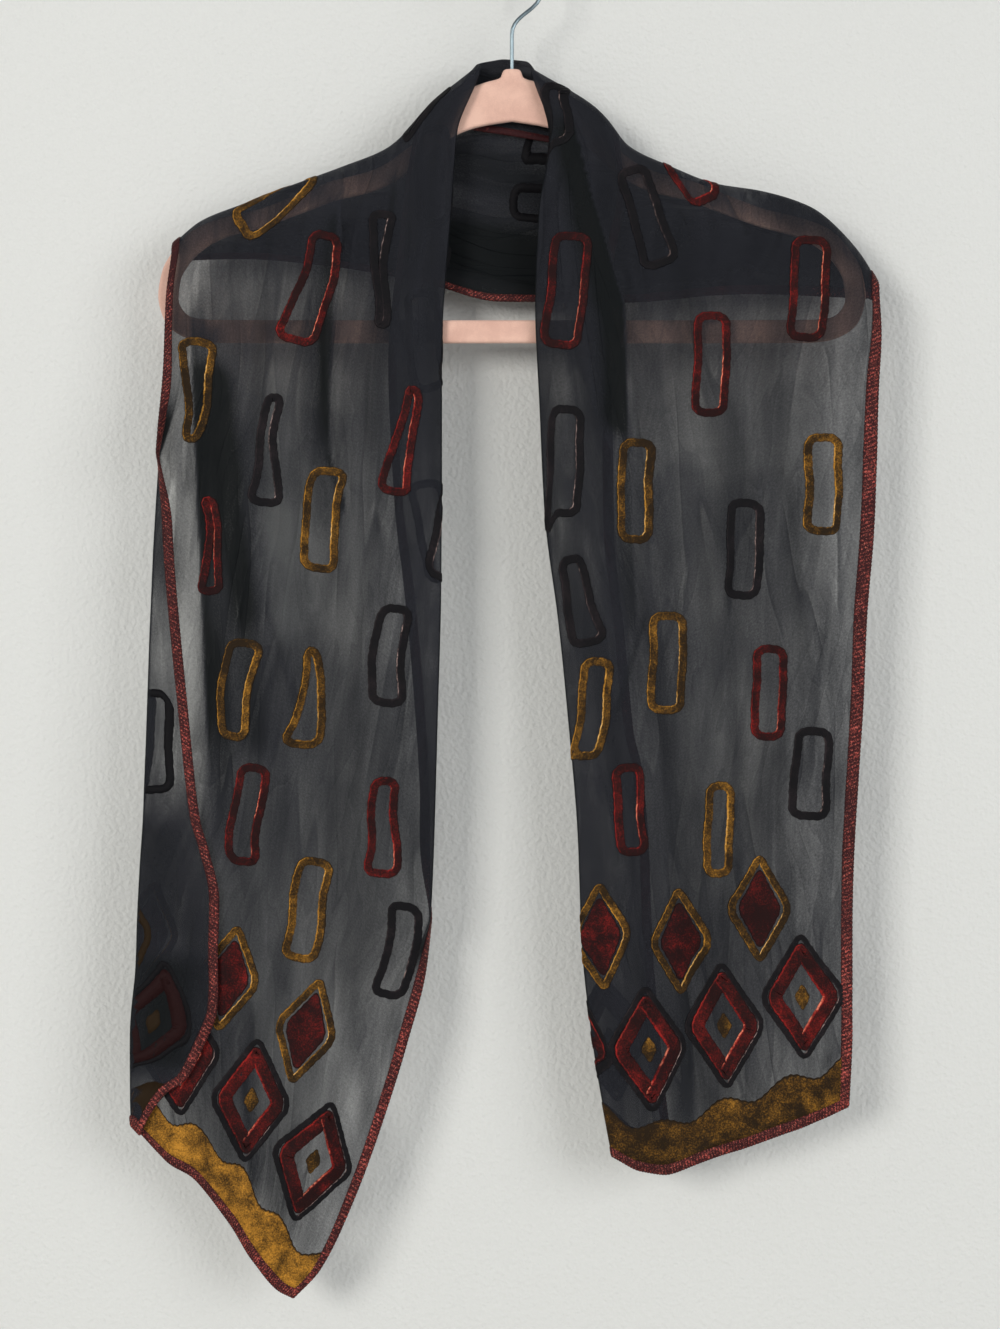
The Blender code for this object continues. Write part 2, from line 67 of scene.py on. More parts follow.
MM = 0.001
CLOTH_NODES = ("cloth_left_end", "cloth_behind_neck", "cloth_right_end")
STRETCHES = ("left", "back", "right")

# The drape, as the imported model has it
TAPE_WIDTH = 5.5
BEND_RADIUS = 9.0
TURN_RADIUS = 1.8
HANG_DEPTH = 3.0
HANG_TOP = -250.0
HANG_RUN = 250.0
ROOM_RUN = 40.0
ROOM_AT_HANGER = 0.6
ROOM_BELOW = 6.0
SHOULDER_FADE = 0.22
HEM_FADE = 0.2
FRONT_FOLD_FADE = 0.07
BACK_SHOULDER_FADE = 0.7
BACK_NECK_FADE = 0.3
BACK_FOLD_FADE = 0.15
FOLD_END = 0.15

# How the cloth rises and closes in round the neck, like a collar
COLLAR_REACH = 10.0
COLLAR_LIFT = 4.0
COLLAR_FOOT = -114.0
COLLAR_RISE = 38.0
COLLAR_START = 0.5
BACK_COLLAR_FADE = 0.3

# How finely the cloth is laid out, in rows and columns of its mesh and of the table that is read
# from it, the most of a margin that its round part takes up, and the steps of the hanger's outlines
LEFT_ROWS = 210
BEND_ROWS = 12
BACK_ROWS = 110
RIGHT_ROWS = 190
MAIN_COLUMNS = 100
TURN_COLUMNS = 8
FLAT_COLUMNS = 10
TURN_LIMIT = 0.85
TABLE_ROWS = 900
TABLE_COLUMNS = 220
OUTLINE_STEPS = 1500

# The left end in front: how far down it (0 at the shoulder, 1 at the hem), then the outer side and
# the side by the neck.
LEFT_END = {
    "down": (0.0, 0.05, 0.12, 0.2, 0.3, 0.4, 0.5, 0.65, 0.71, 0.77, 0.82, 0.9, 0.97, 1.0),
    "outer_x": (-212.5, -216.0, -217.3, -219.4, -222.8, -225.3, -227.2, -230.3, -232.3, -233.9,
                -234.8, -238.3, -238.1, -237.5),
    "outer_z": (-191.2, -218.2, -256.2, -299.6, -353.8, -408.1, -462.4, -543.9, -576.4, -609.0,
                -636.1, -679.4, -717.5, -733.8),
    "inner_x": (-37.5, -41.4, -42.4, -43.8, -43.8, -44.2, -46.2, -49.9, -54.0, -65.5, -76.7,
                -97.3, -120.5, -136.2),
    "inner_z": (-90.0, -128.0, -182.0, -243.8, -321.0, -398.2, -475.4, -591.2, -637.1, -682.0,
                -718.9, -777.0, -825.7, -842.5),
}

RIGHT_END = {
    "down": (0.0, 0.05, 0.12, 0.2, 0.3, 0.4, 0.5, 0.6, 0.7, 0.8, 0.9, 1.0),
    "outer_x": (229.4, 230.7, 228.7, 227.5, 225.3, 221.0, 218.8, 215.6, 212.7, 211.8, 211.9, 210.0),
    "outer_z": (-215.0, -240.3, -275.9, -316.6, -367.4, -418.0, -468.9, -519.7, -570.5, -621.4,
                -672.3, -723.1),
    "inner_x": (18.1, 20.0, 14.9, 14.4, 17.2, 20.4, 28.8, 35.5, 41.0, 43.5, 50.9, 62.5),
    "inner_z": (-85.0, -118.5, -165.3, -219.1, -286.3, -353.5, -420.2, -487.2, -554.1, -621.3,
                -688.1, -754.4),
}

# Behind the neck, from the left shoulder to the right: the lower, outer side and the fold at the top.
BACK = {
    "along": (0.0, 0.15, 0.3, 0.45, 0.55, 0.7, 0.85, 1.0),
    "outer_x": (-212.5, -170.0, -120.0, -57.5, -7.5, 68.8, 148.8, 229.4),
    "outer_z": (-191.2, -190.0, -194.0, -204.4, -216.9, -217.5, -212.0, -215.0),
    "inner_x": (-32.0, -27.0, -21.0, -12.0, -5.0, 8.0, 19.0, 25.0),
    "inner_z": (-80.0, -71.5, -67.5, -65.5, -64.5, -65.5, -68.5, -73.0),
}

# The line where the cloth lies over the hanger's shoulders, from the outer side to the neck.
SHOULDER = {
    "across": (0.0, 0.1, 0.25, 0.4, 0.55, 0.7, 0.8, 0.9, 1.0),
    "left_x": (-212.5, -195.0, -168.8, -138.8, -107.5, -79.4, -65.0, -52.5, -30.0),
    "left_z": (-182.2, -168.1, -157.5, -146.0, -134.5, -123.0, -110.5, -93.5, -73.0),
    "right_x": (229.4, 217.5, 187.5, 156.2, 128.8, 97.5, 73.8, 55.0, 22.0),
    "right_z": (-206.0, -186.9, -159.4, -149.4, -145.0, -133.0, -121.4, -97.5, -76.0),
}

# How far the hems dip below the straight line between their corners.
HEM = {
    "across": (0.0, 0.2, 0.4, 0.6, 0.75, 0.88, 1.0),
    "left": (0.0, 0.0, 8.0, 4.0, -4.0, -6.0, 0.0),
    "right": (0.0, -6.5, -10.5, -15.0, -18.0, -12.0, 0.0),
}

# The margin beyond each side of the main layer, and how far it is turned over, in degrees.
OUTER_MARGIN = {
    "place": (0.0, 0.03, 0.07, 0.1, 0.14, 0.18, 0.24, 0.29, 0.335, 0.365, 0.48, 0.6, 0.68, 0.74,
              0.8, 0.88, 1.0, 5.0),
    "width": (12.5, 20.0, 33.0, 48.0, 56.0, 61.0, 58.0, 56.0, 47.0, 40.0, 29.0, 20.0, 15.0, 12.5,
              12.5, 12.5, 12.5, 12.5),
    "turn": (180.0, 180.0, 180.0, 180.0, 180.0, 180.0, 180.0, 180.0, 180.0, 180.0, 180.0, 180.0,
             180.0, 120.0, 60.0, 0.0, 0.0, 0.0),
}

INNER_MARGIN = {
    "place": (0.0, 0.24, 0.33, 0.42, 0.46, 0.515, 0.61, 0.67, 0.81, 1.0, 2.5, 4.0, 4.21, 4.435,
              4.59, 4.63, 4.845, 5.0),
    "width": (12.5, 12.5, 12.5, 13.0, 15.0, 19.0, 27.5, 33.0, 39.0, 41.0, 41.0, 46.0, 54.0, 48.0,
              45.0, 48.0, 47.0, 44.0),
    "turn": (0.0, 0.0, 90.0, 180.0, 180.0, 180.0, 180.0, 180.0, 180.0, 180.0, 180.0, 180.0, 180.0,
             180.0, 180.0, 180.0, 180.0, 180.0),
}

# Folds, a row for each: where its line begins and ends, its half width, and how far it stands out.
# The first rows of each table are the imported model's; the others are creases of the thin cloth.
Fold = namedtuple("Fold", "head foot half rise side", defaults=(0,))
LEFT_FOLDS = tuple(Fold(*row) for row in (
    ((-109.0, -170.0), (-114.0, -315.0), 13.0, 3.0),
    ((-192.0, -270.0), (-188.0, -507.0), 13.0, -3.5),
    ((-73.0, -332.0), (-82.0, -520.0), 15.0, 4.0),
    ((-139.0, -382.0), (-160.0, -575.0), 17.0, 5.0),
    ((-107.0, -420.0), (-132.0, -657.0), 14.0, -4.0),
    ((-172.0, -670.0), (-162.0, -765.0), 13.0, -4.0),
    ((-104.0, -657.0), (-143.0, -800.0), 15.0, 5.0),
    ((-112.0, -175.0), (-117.0, -308.0), 3.5, 1.6),
    ((-116.0, -300.0), (-106.0, -345.0), 3.0, 1.2),
    ((-198.0, -245.0), (-189.0, -497.0), 3.0, 1.8),
    ((-170.0, -690.0), (-164.0, -775.0), 2.6, 1.6),
    ((-148.0, -200.0), (-160.0, -290.0), 5.0, 1.0),
    ((-90.0, -205.0), (-84.0, -330.0), 5.0, 1.3),
    ((-60.0, -120.0), (-62.0, -300.0), 5.0, 1.3),
    ((-128.0, -330.0), (-124.0, -430.0), 4.0, -1.0),
    ((-166.0, -330.0), (-158.0, -470.0), 6.0, 1.1),
    ((-140.0, -560.0), (-128.0, -640.0), 4.0, 1.0),
    ((-92.0, -540.0), (-104.0, -610.0), 5.0, -1.0),
    ((-150.0, -640.0), (-118.0, -700.0), 5.0, 1.1),
))

RIGHT_FOLDS = tuple(Fold(*row) for row in (
    ((50.0, -160.0), (58.0, -420.0), 13.0, 3.5),
    ((78.0, -290.0), (84.0, -500.0), 13.0, -3.0),
    ((117.0, -345.0), (117.0, -600.0), 16.0, 4.0),
    ((153.0, -300.0), (146.0, -660.0), 14.0, -4.0),
    ((189.0, -314.0), (188.0, -700.0), 14.0, 4.5),
    ((82.0, -595.0), (86.0, -760.0), 14.0, 4.5),
    ((113.0, -626.0), (117.0, -760.0), 13.0, -4.5),
    ((150.0, -640.0), (153.0, -750.0), 13.0, 3.0),
    ((34.0, -100.0), (52.0, -170.0), 5.0, 2.0),
    ((52.0, -165.0), (69.0, -235.0), 4.5, 2.0),
    ((68.0, -230.0), (71.0, -330.0), 4.0, 1.6),
    ((88.0, -150.0), (100.0, -215.0), 5.0, 1.4),
    ((205.0, -205.0), (214.0, -290.0), 4.0, 1.2),
    ((130.0, -250.0), (134.0, -420.0), 6.0, 1.0),
    ((172.0, -420.0), (170.0, -560.0), 6.0, 1.1),
    ((100.0, -470.0), (98.0, -620.0), 5.0, 1.0),
    ((200.0, -360.0), (204.0, -470.0), 4.0, 1.0),
    ((70.0, -480.0), (74.0, -600.0), 4.0, 1.2),
))

BACK_FOLDS = tuple(Fold(*row) for row in (
    ((-90.0, -150.0), (90.0, -155.0), 14.0, 3.5),
    ((-110.0, -182.0), (100.0, -192.0), 13.0, 3.0),
    ((-60.0, -118.0), (50.0, -112.0), 6.0, 1.6),
    ((-70.0, -168.0), (110.0, -176.0), 5.0, 1.4),
    ((-130.0, -170.0), (-20.0, -196.0), 5.0, 1.2),
))

# Lines where the cloth lies closer or looser to the light: the rise is the share more or less of it.
# They stand partly for layers and pleats and partly for painted shade and painted light, such as the
# dark band beside a crease. Side 1 keeps only what is to the left of the line as seen, -1 only what
# is to its right, as where the edge of a pleat cuts off, and 0 keeps both sides.
SIDE_STEP = 3.0
SHADES = tuple(Fold(*row) for row in (
    ((-201.0, -240.0), (-190.0, -505.0), 15.0, -0.34, 1),
    ((-200.5, -240.0), (-189.5, -505.0), 15.0, 1.3, -1),
    ((-200.5, -240.0), (-189.5, -505.0), 2.2, 1.0, -1),
    ((-188.0, -262.0), (-176.0, -340.0), 13.0, 2.4, 0),
    ((-176.0, -340.0), (-164.0, -425.0), 12.0, 2.2, 0),
    ((-164.0, -425.0), (-160.0, -500.0), 10.0, 1.2, 0),
    ((-186.0, -420.0), (-178.0, -560.0), 9.0, 1.0, 0),
    ((-150.0, -345.0), (-134.0, -430.0), 20.0, -0.55, 0),
    ((-108.0, -150.0), (-115.0, -308.0), 12.0, 1.7, 1),
    ((-118.5, -235.0), (-113.0, -322.0), 2.2, 1.5, 1),
    ((-114.0, -316.0), (-104.0, -350.0), 3.2, 1.5, 1),
    ((-104.0, -342.0), (-109.0, -365.0), 2.4, 1.2, 1),
    ((-155.0, -410.0), (-128.0, -500.0), 3.0, 0.5, -1),
    ((-148.0, -250.0), (-140.0, -390.0), 14.0, -0.3, 0),
    ((-90.0, -330.0), (-104.0, -480.0), 15.0, -0.18, 0),
    ((-171.0, -685.0), (-164.0, -775.0), 6.0, 1.4, -1),
    ((-152.0, -480.0), (-140.0, -640.0), 20.0, 0.25, 0),
    ((34.0, -88.0), (51.0, -160.0), 15.0, 3.4, 1),
    ((51.0, -160.0), (69.0, -222.0), 17.0, 3.4, 1),
    ((69.0, -222.0), (72.0, -300.0), 15.0, 3.4, 1),
    ((72.0, -300.0), (78.0, -420.0), 9.0, 1.1, 1),
    ((84.0, -420.0), (66.0, -480.0), 3.5, 0.8, 1),
    ((92.0, -330.0), (96.0, -560.0), 15.0, 0.25, 0),
    ((118.0, -300.0), (128.0, -520.0), 14.0, -0.22, 0),
    ((196.0, -420.0), (186.0, -520.0), 5.0, 0.5, 1),
    ((190.0, -450.0), (192.0, -680.0), 24.0, 0.3, 0),
    ((110.0, -600.0), (114.0, -740.0), 9.0, 0.9, 1),
    ((-60.0, -110.0), (-58.0, -260.0), 16.0, 0.4, 0),
    ((-214.0, -628.0), (-220.0, -700.0), 28.0, 2.0, 0),
    ((-222.0, -545.0), (-220.0, -620.0), 26.0, 1.0, 0),
    ((-214.0, -400.0), (-214.0, -520.0), 26.0, -0.4, 0),
    ((-150.0, -545.0), (-134.0, -760.0), 40.0, -0.38, 0),
    ((120.0, -330.0), (134.0, -460.0), 50.0, 0.22, 0),
    ((100.0, -600.0), (120.0, -700.0), 50.0, 0.25, 0),
    ((-66.0, -250.0), (-66.0, -560.0), 20.0, 0.5, 0),
    ((58.0, -430.0), (60.0, -740.0), 22.0, 0.4, 0),
    ((53.0, -158.0), (71.0, -224.0), 3.0, -0.6, -1),
    ((71.0, -222.0), (74.0, -300.0), 2.6, -0.5, -1),
    ((-104.0, -150.0), (-110.0, -300.0), 4.0, -0.3, -1),
    ((-40.0, -110.0), (-44.0, -240.0), 5.0, -0.4, 0),
    ((-70.0, -118.0), (-76.0, -190.0), 4.0, 1.2, 1),
    ((-150.0, -160.0), (-90.0, -135.0), 14.0, -0.3, 0),
    ((130.0, -152.0), (215.0, -190.0), 16.0, -0.35, 0),
))

# How close the threads lie to the light, where 1 is flat cloth: behind the neck, where it is
# gathered, over the bends, and the least and the most. Then what a slope adds, the least share of
# it that faces the light, and what a crumple adds.
BACK_CLOSENESS = 2.6
BEND_CLOSENESS = 1.5
LEAST_CLOSENESS = 0.3
MOST_CLOSENESS = 3.4
STEEP_SHARE = 2.2
STEEPEST = 0.42
BUNCH_SHARE = 0.16

# Where the two ends in front stop, and where the bends and the stretch behind the neck hold, as
# places along the scarf: from, to, and how far each takes to come in. Then the height below which
# the gathers lie closer, and its fade.
OFF_FRONT = (0.95, 4.05, 0.05)
ON_BENDS = (0.97, 4.03, 0.04)
ON_BACK = (1.6, 3.4, 0.3)
GATHERS_TOP = -150.0
GATHERS_FADE = 30.0

# Oblong rings of pile on the two ends, where the drape puts them: the colour, the middle, the whole
# length and width, the lean of the long side from upright in degrees, how much narrower the head is
# than the foot, and how much the cloth's crumples pinch the waist.
RING_COLUMNS = ("colour", "x", "z", "length", "width", "lean", "taper", "pinch")
RINGS = (
    ("gold", -146.0, -156.0, 58.0, 25.0, 50.0, 0.25, 0.0),
    ("red", -124.4, -211.9, 73.0, 25.0, 17.0, 0.15, 0.0),
    ("black", -81.9, -200.0, 74.0, 15.0, 2.0, -0.25, 0.3),
    ("gold", -198.1, -276.2, 66.0, 20.0, 6.0, -0.35, 0.1),
    ("black", -152.5, -312.5, 71.0, 20.0, 7.0, 0.3, 0.3),
    ("red", -67.5, -307.5, 70.0, 17.0, 8.0, 0.35, 0.1),
    ("gold", -118.8, -356.2, 66.0, 25.0, 9.0, 0.0, 0.05),
    ("red", -188.5, -373.1, 62.0, 14.0, -3.0, 0.25, 0.2),
    ("black", -76.2, -442.5, 64.0, 23.0, 8.0, 0.05, 0.0),
    ("gold", -171.2, -463.8, 64.0, 23.0, 8.0, -0.1, 0.0),
    ("gold", -126.2, -468.1, 64.0, 20.0, 8.0, 0.45, 0.1),
    ("red", -165.6, -541.2, 64.0, 22.0, 5.0, 0.0, 0.0),
    ("red", -80.6, -550.0, 63.0, 22.0, 5.0, 0.15, 0.1),
    ("gold", -128.8, -601.2, 66.0, 24.0, 13.0, 0.0, 0.0),
    ("black", -70.6, -626.2, 61.0, 23.0, 11.0, 0.0, 0.05),
    ("black", 84.4, -166.9, 66.0, 24.0, -16.0, 0.1, 0.1),
    ("red", 112.0, -142.0, 38.0, 29.0, -2.0, 0.0, 0.0),
    ("red", 35.0, -213.8, 73.0, 26.0, 6.0, 0.0, 0.0),
    ("red", 185.0, -211.9, 66.0, 25.0, 3.0, 0.0, 0.0),
    ("red", 125.0, -259.4, 66.0, 23.0, 2.0, 0.0, 0.0),
    ("black", 33.1, -320.0, 70.0, 24.0, 3.0, 0.05, 0.0),
    ("gold", 76.9, -338.8, 66.0, 23.0, 1.0, 0.0, 0.0),
    ("gold", 193.8, -334.4, 64.0, 24.0, 2.0, 0.0, 0.0),
    ("black", 144.4, -375.0, 63.0, 24.0, 3.0, 0.0, 0.0),
    ("black", 42.5, -407.5, 58.0, 22.0, -12.0, 0.2, 0.1),
    ("gold", 96.9, -446.9, 64.0, 24.0, 1.0, 0.0, 0.0),
    ("red", 161.2, -465.0, 60.0, 22.0, 4.0, 0.0, 0.0),
    ("gold", 51.2, -475.0, 64.0, 21.0, 2.0, 0.0, 0.0),
    ("black", 186.2, -515.6, 58.0, 25.0, 3.0, 0.05, 0.0),
    ("red", 73.8, -538.8, 58.0, 21.0, -3.0, 0.0, 0.1),
    ("gold", 129.4, -550.0, 60.0, 20.0, 4.0, 0.0, 0.0),
    ("black", 28.0, -103.0, 40.0, 17.0, -12.0, 0.1, 0.0),
    ("black", -54.0, -100.0, 44.0, 12.0, 28.0, 0.0, 0.0),
)

# Pile seen end on: how far in from the rim as a share, and its height as a share. The band is closed
# underneath; the solid patch runs from its middle on top to its middle underneath.
BAND_PROFILE = ((0.0, -0.15), (0.0, 0.1), (0.01, 0.75), (0.04, 0.95), (0.09, 1.0), (0.2, 1.0),
                (0.8, 1.0), (0.91, 1.0), (0.96, 0.95), (0.99, 0.75), (1.0, 0.1), (1.0, -0.15),
                (0.5, -0.15))
PATCH_PROFILE = ((1.0, 1.0), (0.6, 1.0), (0.2, 1.0), (0.05, 1.0), (0.02, 0.95), (0.005, 0.75),
                 (0.0, 0.1), (0.0, -0.15), (0.5, -0.15), (1.0, -0.15))

# The hanger's body: its upper edge and the edge of its opening, each from the middle to the right.
# The left half mirrors it. The edge is rounded over: how far in, and where through the thickness.
BODY_OUTLINE = {
    "x": (0.0, 3.6, 5.4, 6.3, 7.0, 9.5, 15.0, 21.0, 28.5, 36.2, 46.9, 57.5, 68.8, 79.4, 90.6, 100.0,
          112.5, 133.1, 158.1, 183.1, 200.0, 211.2, 220.0, 222.5, 218.8, 211.2, 198.1, 185.0, 100.0,
          0.0),
    "z": (-72.8, -73.0, -74.0, -76.0, -78.0, -79.4, -80.8, -82.8, -86.4, -92.6, -106.2, -116.2,
          -125.0, -132.5, -137.5, -140.0, -143.1, -151.2, -160.6, -166.9, -173.8, -185.0, -200.0,
          -215.6, -230.6, -238.8, -243.8, -245.0, -245.2, -245.2),
}
OPENING_OUTLINE = {
    "x": (0.0, 20.6, 40.0, 52.5, 65.0, 77.5, 90.6, 109.4, 130.0, 156.2, 178.8, 192.5, 202.5, 208.8,
          210.0, 206.2, 200.0, 187.5, 100.0, 0.0),
    "z": (-105.6, -109.0, -116.5, -126.0, -137.5, -145.6, -150.6, -155.0, -162.5, -171.9, -178.1,
          -185.0, -194.4, -206.2, -217.5, -225.6, -229.4, -230.6, -230.9, -230.9),
}
EDGE_ROUND = ((2.2, -2.6), (1.2, -2.45), (0.45, -1.95), (0.0, -1.1), (0.0, 1.1), (0.45, 1.95),
              (1.2, 2.45), (2.2, 2.6))
BODY_MIDDLE = -185.0
BODY_STEPS = 720

# The way towards the light, left and a little up, in the hang: rims that face it get painted highlight
PAINTED_LIGHT_WAY = (-0.92, 0.0, 0.38)

# How a motif is laid on the drape: the rounds of correction, and the miss in millimetres from which
# on the plain first answer is kept
LAY_ROUNDS = 6
LAY_MISS = 0.4

# Small crumples, a row for each: how tall, the wave's step, how far it slants, how much of the
# wander it takes, then the two steps of the slow wave that fades it, that wave's start and power.
Crumple = namedtuple("Crumple", "tall step slant wander fade_z fade_x start power")
CRUMPLES = (
    Crumple(0.6, 3.7, 0.0, 1.0, 38.0, 25.0, 0.0, 2),
    Crumple(0.4, 3.0, -0.35, 0.6, 29.0, -31.0, 0.0, 2),
    Crumple(0.5, 6.1, 0.5, -1.0, 33.0, 44.0, math.pi / 2.0, 1),
)

# All rings: the most that their corners are rounded, also as a share of their width, the points of
# their outline, and how far their long sides sway on each end.
RING_CORNER = 8.5
CORNER_SHARE = 0.43
RING_POINTS = 120
SEEN_SWAY = {"left": 1.9, "right": 0.5}

# Rings that don't show in front: their size, how near they come to other rings across and along,
# how much further off they stay across where the other is turned, and how much more each column of
# them is turned than the last.
HIDDEN_RING = {"length": 65.0, "width": 24.0, "taper": 0.0, "pinch": 0.0, "sway": 0.5}
RING_ROOM = (42.0, 84.0)
TURNED_ROOM = 24.0
COLUMN_TURN = 0.05

# Their rows, in repeats past the border: the first, how much further on an odd column starts, and
# what stays free before the other border. Near the middle, a share of the length, columns shift.
FIRST_ROW = 0.35
ROW_SHIFT = 0.5
LAST_ROW_FREE = 0.3
NECK_SHARE = 0.06
NECK_SHIFTS = {"even": -16.0, "odd": 24.0}

# Where they are black: this near the middle of the length, and on the left end's turned margin,
# given by its width and its share of the length.
BLACK_SHARE = 0.14
FOLDED_WIDTH = 60.0
FOLDED_SHARE = 0.36

# The border at each end, measured on the flat cloth from the hem and the sides. A lozenge's parts go
# from the outside in: colour, half width, half length, how round its points are, how many points
# its outline has, and the width of its band, or None for a solid patch.
BORDER_SIDE = 9.0
BIG_ROW = 78.0
SMALL_ROW = 140.0
LOZENGE_ROOM = (36.0, 62.0)
BIG_LOZENGE = (("black", 24.0, 38.0, 0.3, 110, 3.4), ("red", 20.2, 33.0, 0.3, 110, 8.6),
               ("gold", 4.6, 8.0, 0.4, 48, None))
SMALL_LOZENGE = (("gold", 19.0, 33.0, 0.35, 110, 4.6), ("red", 12.5, 24.0, 0.35, 90, None))
# How much a lozenge is drawn out, so that its rounded points come near its half sizes
LOZENGE_SWELL = 1.12

# The hem band: where it begins, how deep it is, the waves of its edge, how bright its pile is on
# each end, and its profile as pairs of a share of its depth and a share of the pile's height.
HEM_BAND_START = 3.0
HEM_BAND_DEPTH = 30.0
HEM_BAND_WAVE = 4.0
HEM_BAND_WAVES = 5
HEM_BAND_COLUMNS = 240
HEM_BAND_BRIGHT = {"left": 0.74, "right": 0.52}
HEM_BAND_PROFILE = ((1.0, 0.1), (0.985, 0.6), (0.95, 0.8), (0.8, 0.85), (0.5, 0.85), (0.2, 0.85),
                    (0.0, 0.7), (0.0, -0.15), (0.5, -0.15), (1.0, -0.15))

# The bound edges: how far the tape stands out past the cloth's edge, and how much broader than the
# packed tape it is on the hems, on the hanging ends, and at the right end's outer hem. Then the step
# and the corners of its mesh.
TAPE_PROUD = 0.9
HEM_TAPE_MORE = 0.8
END_TAPE_MORE = 1.3
OUTER_TAPE_MORE = 3.4
TAPE_STEP = 0.75
TAPE_CORNERS = 12

# Shares of a long edge, from the left hem: its middle, how far from that the hanging ends begin,
# where the outer tape begins to broaden, and where painted shade begins on the inner tape. Last, how
# far from the middle the outer tape has painted shade over the shoulders: from, to, and the fade.
EDGE_MIDDLE = 0.492
EDGE_HANGING = 0.16
EDGE_BROADENS = 0.1
INNER_LIT = 0.17
EDGE_FADE = 0.03
OUTER_SHADED = (0.024, 0.145, 0.01)

# The stage: the floor, the wall's top and half width, the middle of the view, the cloth's front and
# the height that the camera sees there, with the camera's sensor. Then the even light of the room,
# and the lights, each with its place, size, watts and colour.
FLOOR_Z = -1250.0
WALL_TOP = 1400.0
STAGE_REACH = 2600.0
VIEW_CENTRE = (-7.5, 0.0, -447.5)
CLOTH_FRONT = -10.0
VIEW_HEIGHT = 830.6
SENSOR = 24.0
ROOM_COLOUR = (0.93, 0.96, 1.0, 1.0)
ROOM_STRENGTH = 0.36
LIGHTS = {
    "key": ((-2600.0, -3900.0, 500.0), 1600.0, 112.0, (1.0, 0.985, 0.96)),
    "fill": ((3000.0, -3200.0, 300.0), 2400.0, 82.0, (0.97, 0.98, 1.0)),
}

# Creases of the clearness and the bump, not of the shape: in the clearness they are painted shade
# then painted light. A row for each set: its reach across and along, its angle, how far off its
# noise is taken, and how strong it is. The stops shape one crease, dark then light.
CREASES = (((22.0, 190.0), 0.13, 40.0, 0.4), ((30.0, 230.0), -0.07, 900.0, 0.3),
           ((11.0, 60.0), 0.3, 500.0, 0.16), ((13.0, 70.0), -0.26, 1300.0, 0.16))
CREASE_STOPS = ((0.36, 0.5), (0.46, 0.38), (0.49, 0.24), (0.512, 0.95), (0.56, 0.7), (0.68, 0.5))

# The finish of each pile colour: deep between fibres, painted highlight on a lit wall, and sheen.
PILE_FINISH = {
    "red": {"deep": (0.014, 0.003, 0.003), "highlight_colour": (0.95, 0.27, 0.16), "sheen": 0.03,
            "tint": (1.0, 0.25, 0.18)},
    "gold": {"deep": (0.018, 0.0095, 0.003), "highlight_colour": (0.95, 0.56, 0.2), "sheen": 0.03,
             "tint": (1.0, 0.7, 0.3)},
    "black": {"deep": (0.004, 0.0036, 0.0045), "highlight_colour": (0.4, 0.28, 0.25), "sheen": 0.02,
              "tint": (0.8, 0.75, 0.8)},
}


def blend(low, high, share):
    """The value that lies this share of the way from low to high."""
    return low + (high - low) * share


def ease(value):
    """0 up to 0, 1 from 1, and a smooth step between them."""
    t = np.clip(value, 0.0, 1.0)
    return t * t * (3.0 - 2.0 * t)


def between(value, start, end, fade):
    """1 between start and end, 0 outside them, with a smooth step inward from each."""
    return ease((value - start) / fade) * ease((end - value) / fade)


def read(table, key, name, at):
    """A smooth curve through one column of a table: cubic pieces whose slopes never overshoot."""
    known = np.array(table[key])
    values = np.array(table[name])
    steps = np.diff(known)
    slopes = np.diff(values) / steps
    both = slopes[1:] + slopes[:-1]
    inner = np.where(
        slopes[1:] * slopes[:-1] > 0.0,
        2.0 * slopes[1:] * slopes[:-1] / np.where(both == 0.0, 1.0, both),
        0.0,
    )
    tangents = np.concatenate([slopes[:1], inner, slopes[-1:]])
    at = np.clip(at, known[0], known[-1])
    cell = np.clip(np.searchsorted(known, at, side="right") - 1, 0, len(steps) - 1)
    span = steps[cell]
    t = (at - known[cell]) / span
    rest = 1.0 - t
    return (
        values[cell] * (1.0 + 2.0 * t) * rest**2
        + values[cell + 1] * (3.0 - 2.0 * t) * t**2
        + span * tangents[cell] * t * rest**2
        - span * tangents[cell + 1] * rest * t**2
    )


def fold_height(folds, x, z):
    """The sum of soft ridges and troughs, each a bell across its line that fades out at both ends.
    Where a fold has a side, a short step at the line leaves that side of the bell alone."""
    total = np.zeros_like(x)
    for fold in folds:
        head = np.array(fold.head)
        line = np.array(fold.foot) - head
        length = np.hypot(*line)
        along = ((x - head[0]) * line[0] + (z - head[1]) * line[1]) / length**2
        off = ((x - head[0]) * line[1] - (z - head[1]) * line[0]) / length
        bell = np.exp(-((off / fold.half) ** 2))
        window = between(along, -FOLD_END, 1.0 + FOLD_END, 2.0 * FOLD_END)
        kept = ease(0.5 + fold.side * off / SIDE_STEP) if fold.side else 1.0
        total = total + fold.rise * bell * window * kept
    return total


def crumple(x, z):
    """Small soft crumples: sines across the hang whose lines wander, times slow sines down it."""
    wander = 6.0 * np.sin(z / 47.0 + x / 90.0) + 3.0 * np.sin(z / 21.0 - x / 60.0)
    total = np.zeros_like(x)
    for row in CRUMPLES:
        wave = np.sin((x + row.slant * z + row.wander * wander) / row.step)
        fade = 0.5 + 0.5 * np.sin(z / row.fade_z + x / row.fade_x + row.start)
        total = total + row.tall * wave * fade**row.power
    return total


def collar(side, across, x, z, share=1.0):
    """Draws the cloth in towards the neck and lifts it, the more the higher it lies and the nearer
    it is to its side by the neck."""
    near = ease((z - COLLAR_FOOT) / COLLAR_RISE)
    near = near * ease((across - COLLAR_START) / (1.0 - COLLAR_START))
    way = {"left": 1.0, "right": -1.0}[side]
    return x + way * COLLAR_REACH * near * share, z + COLLAR_LIFT * near * share


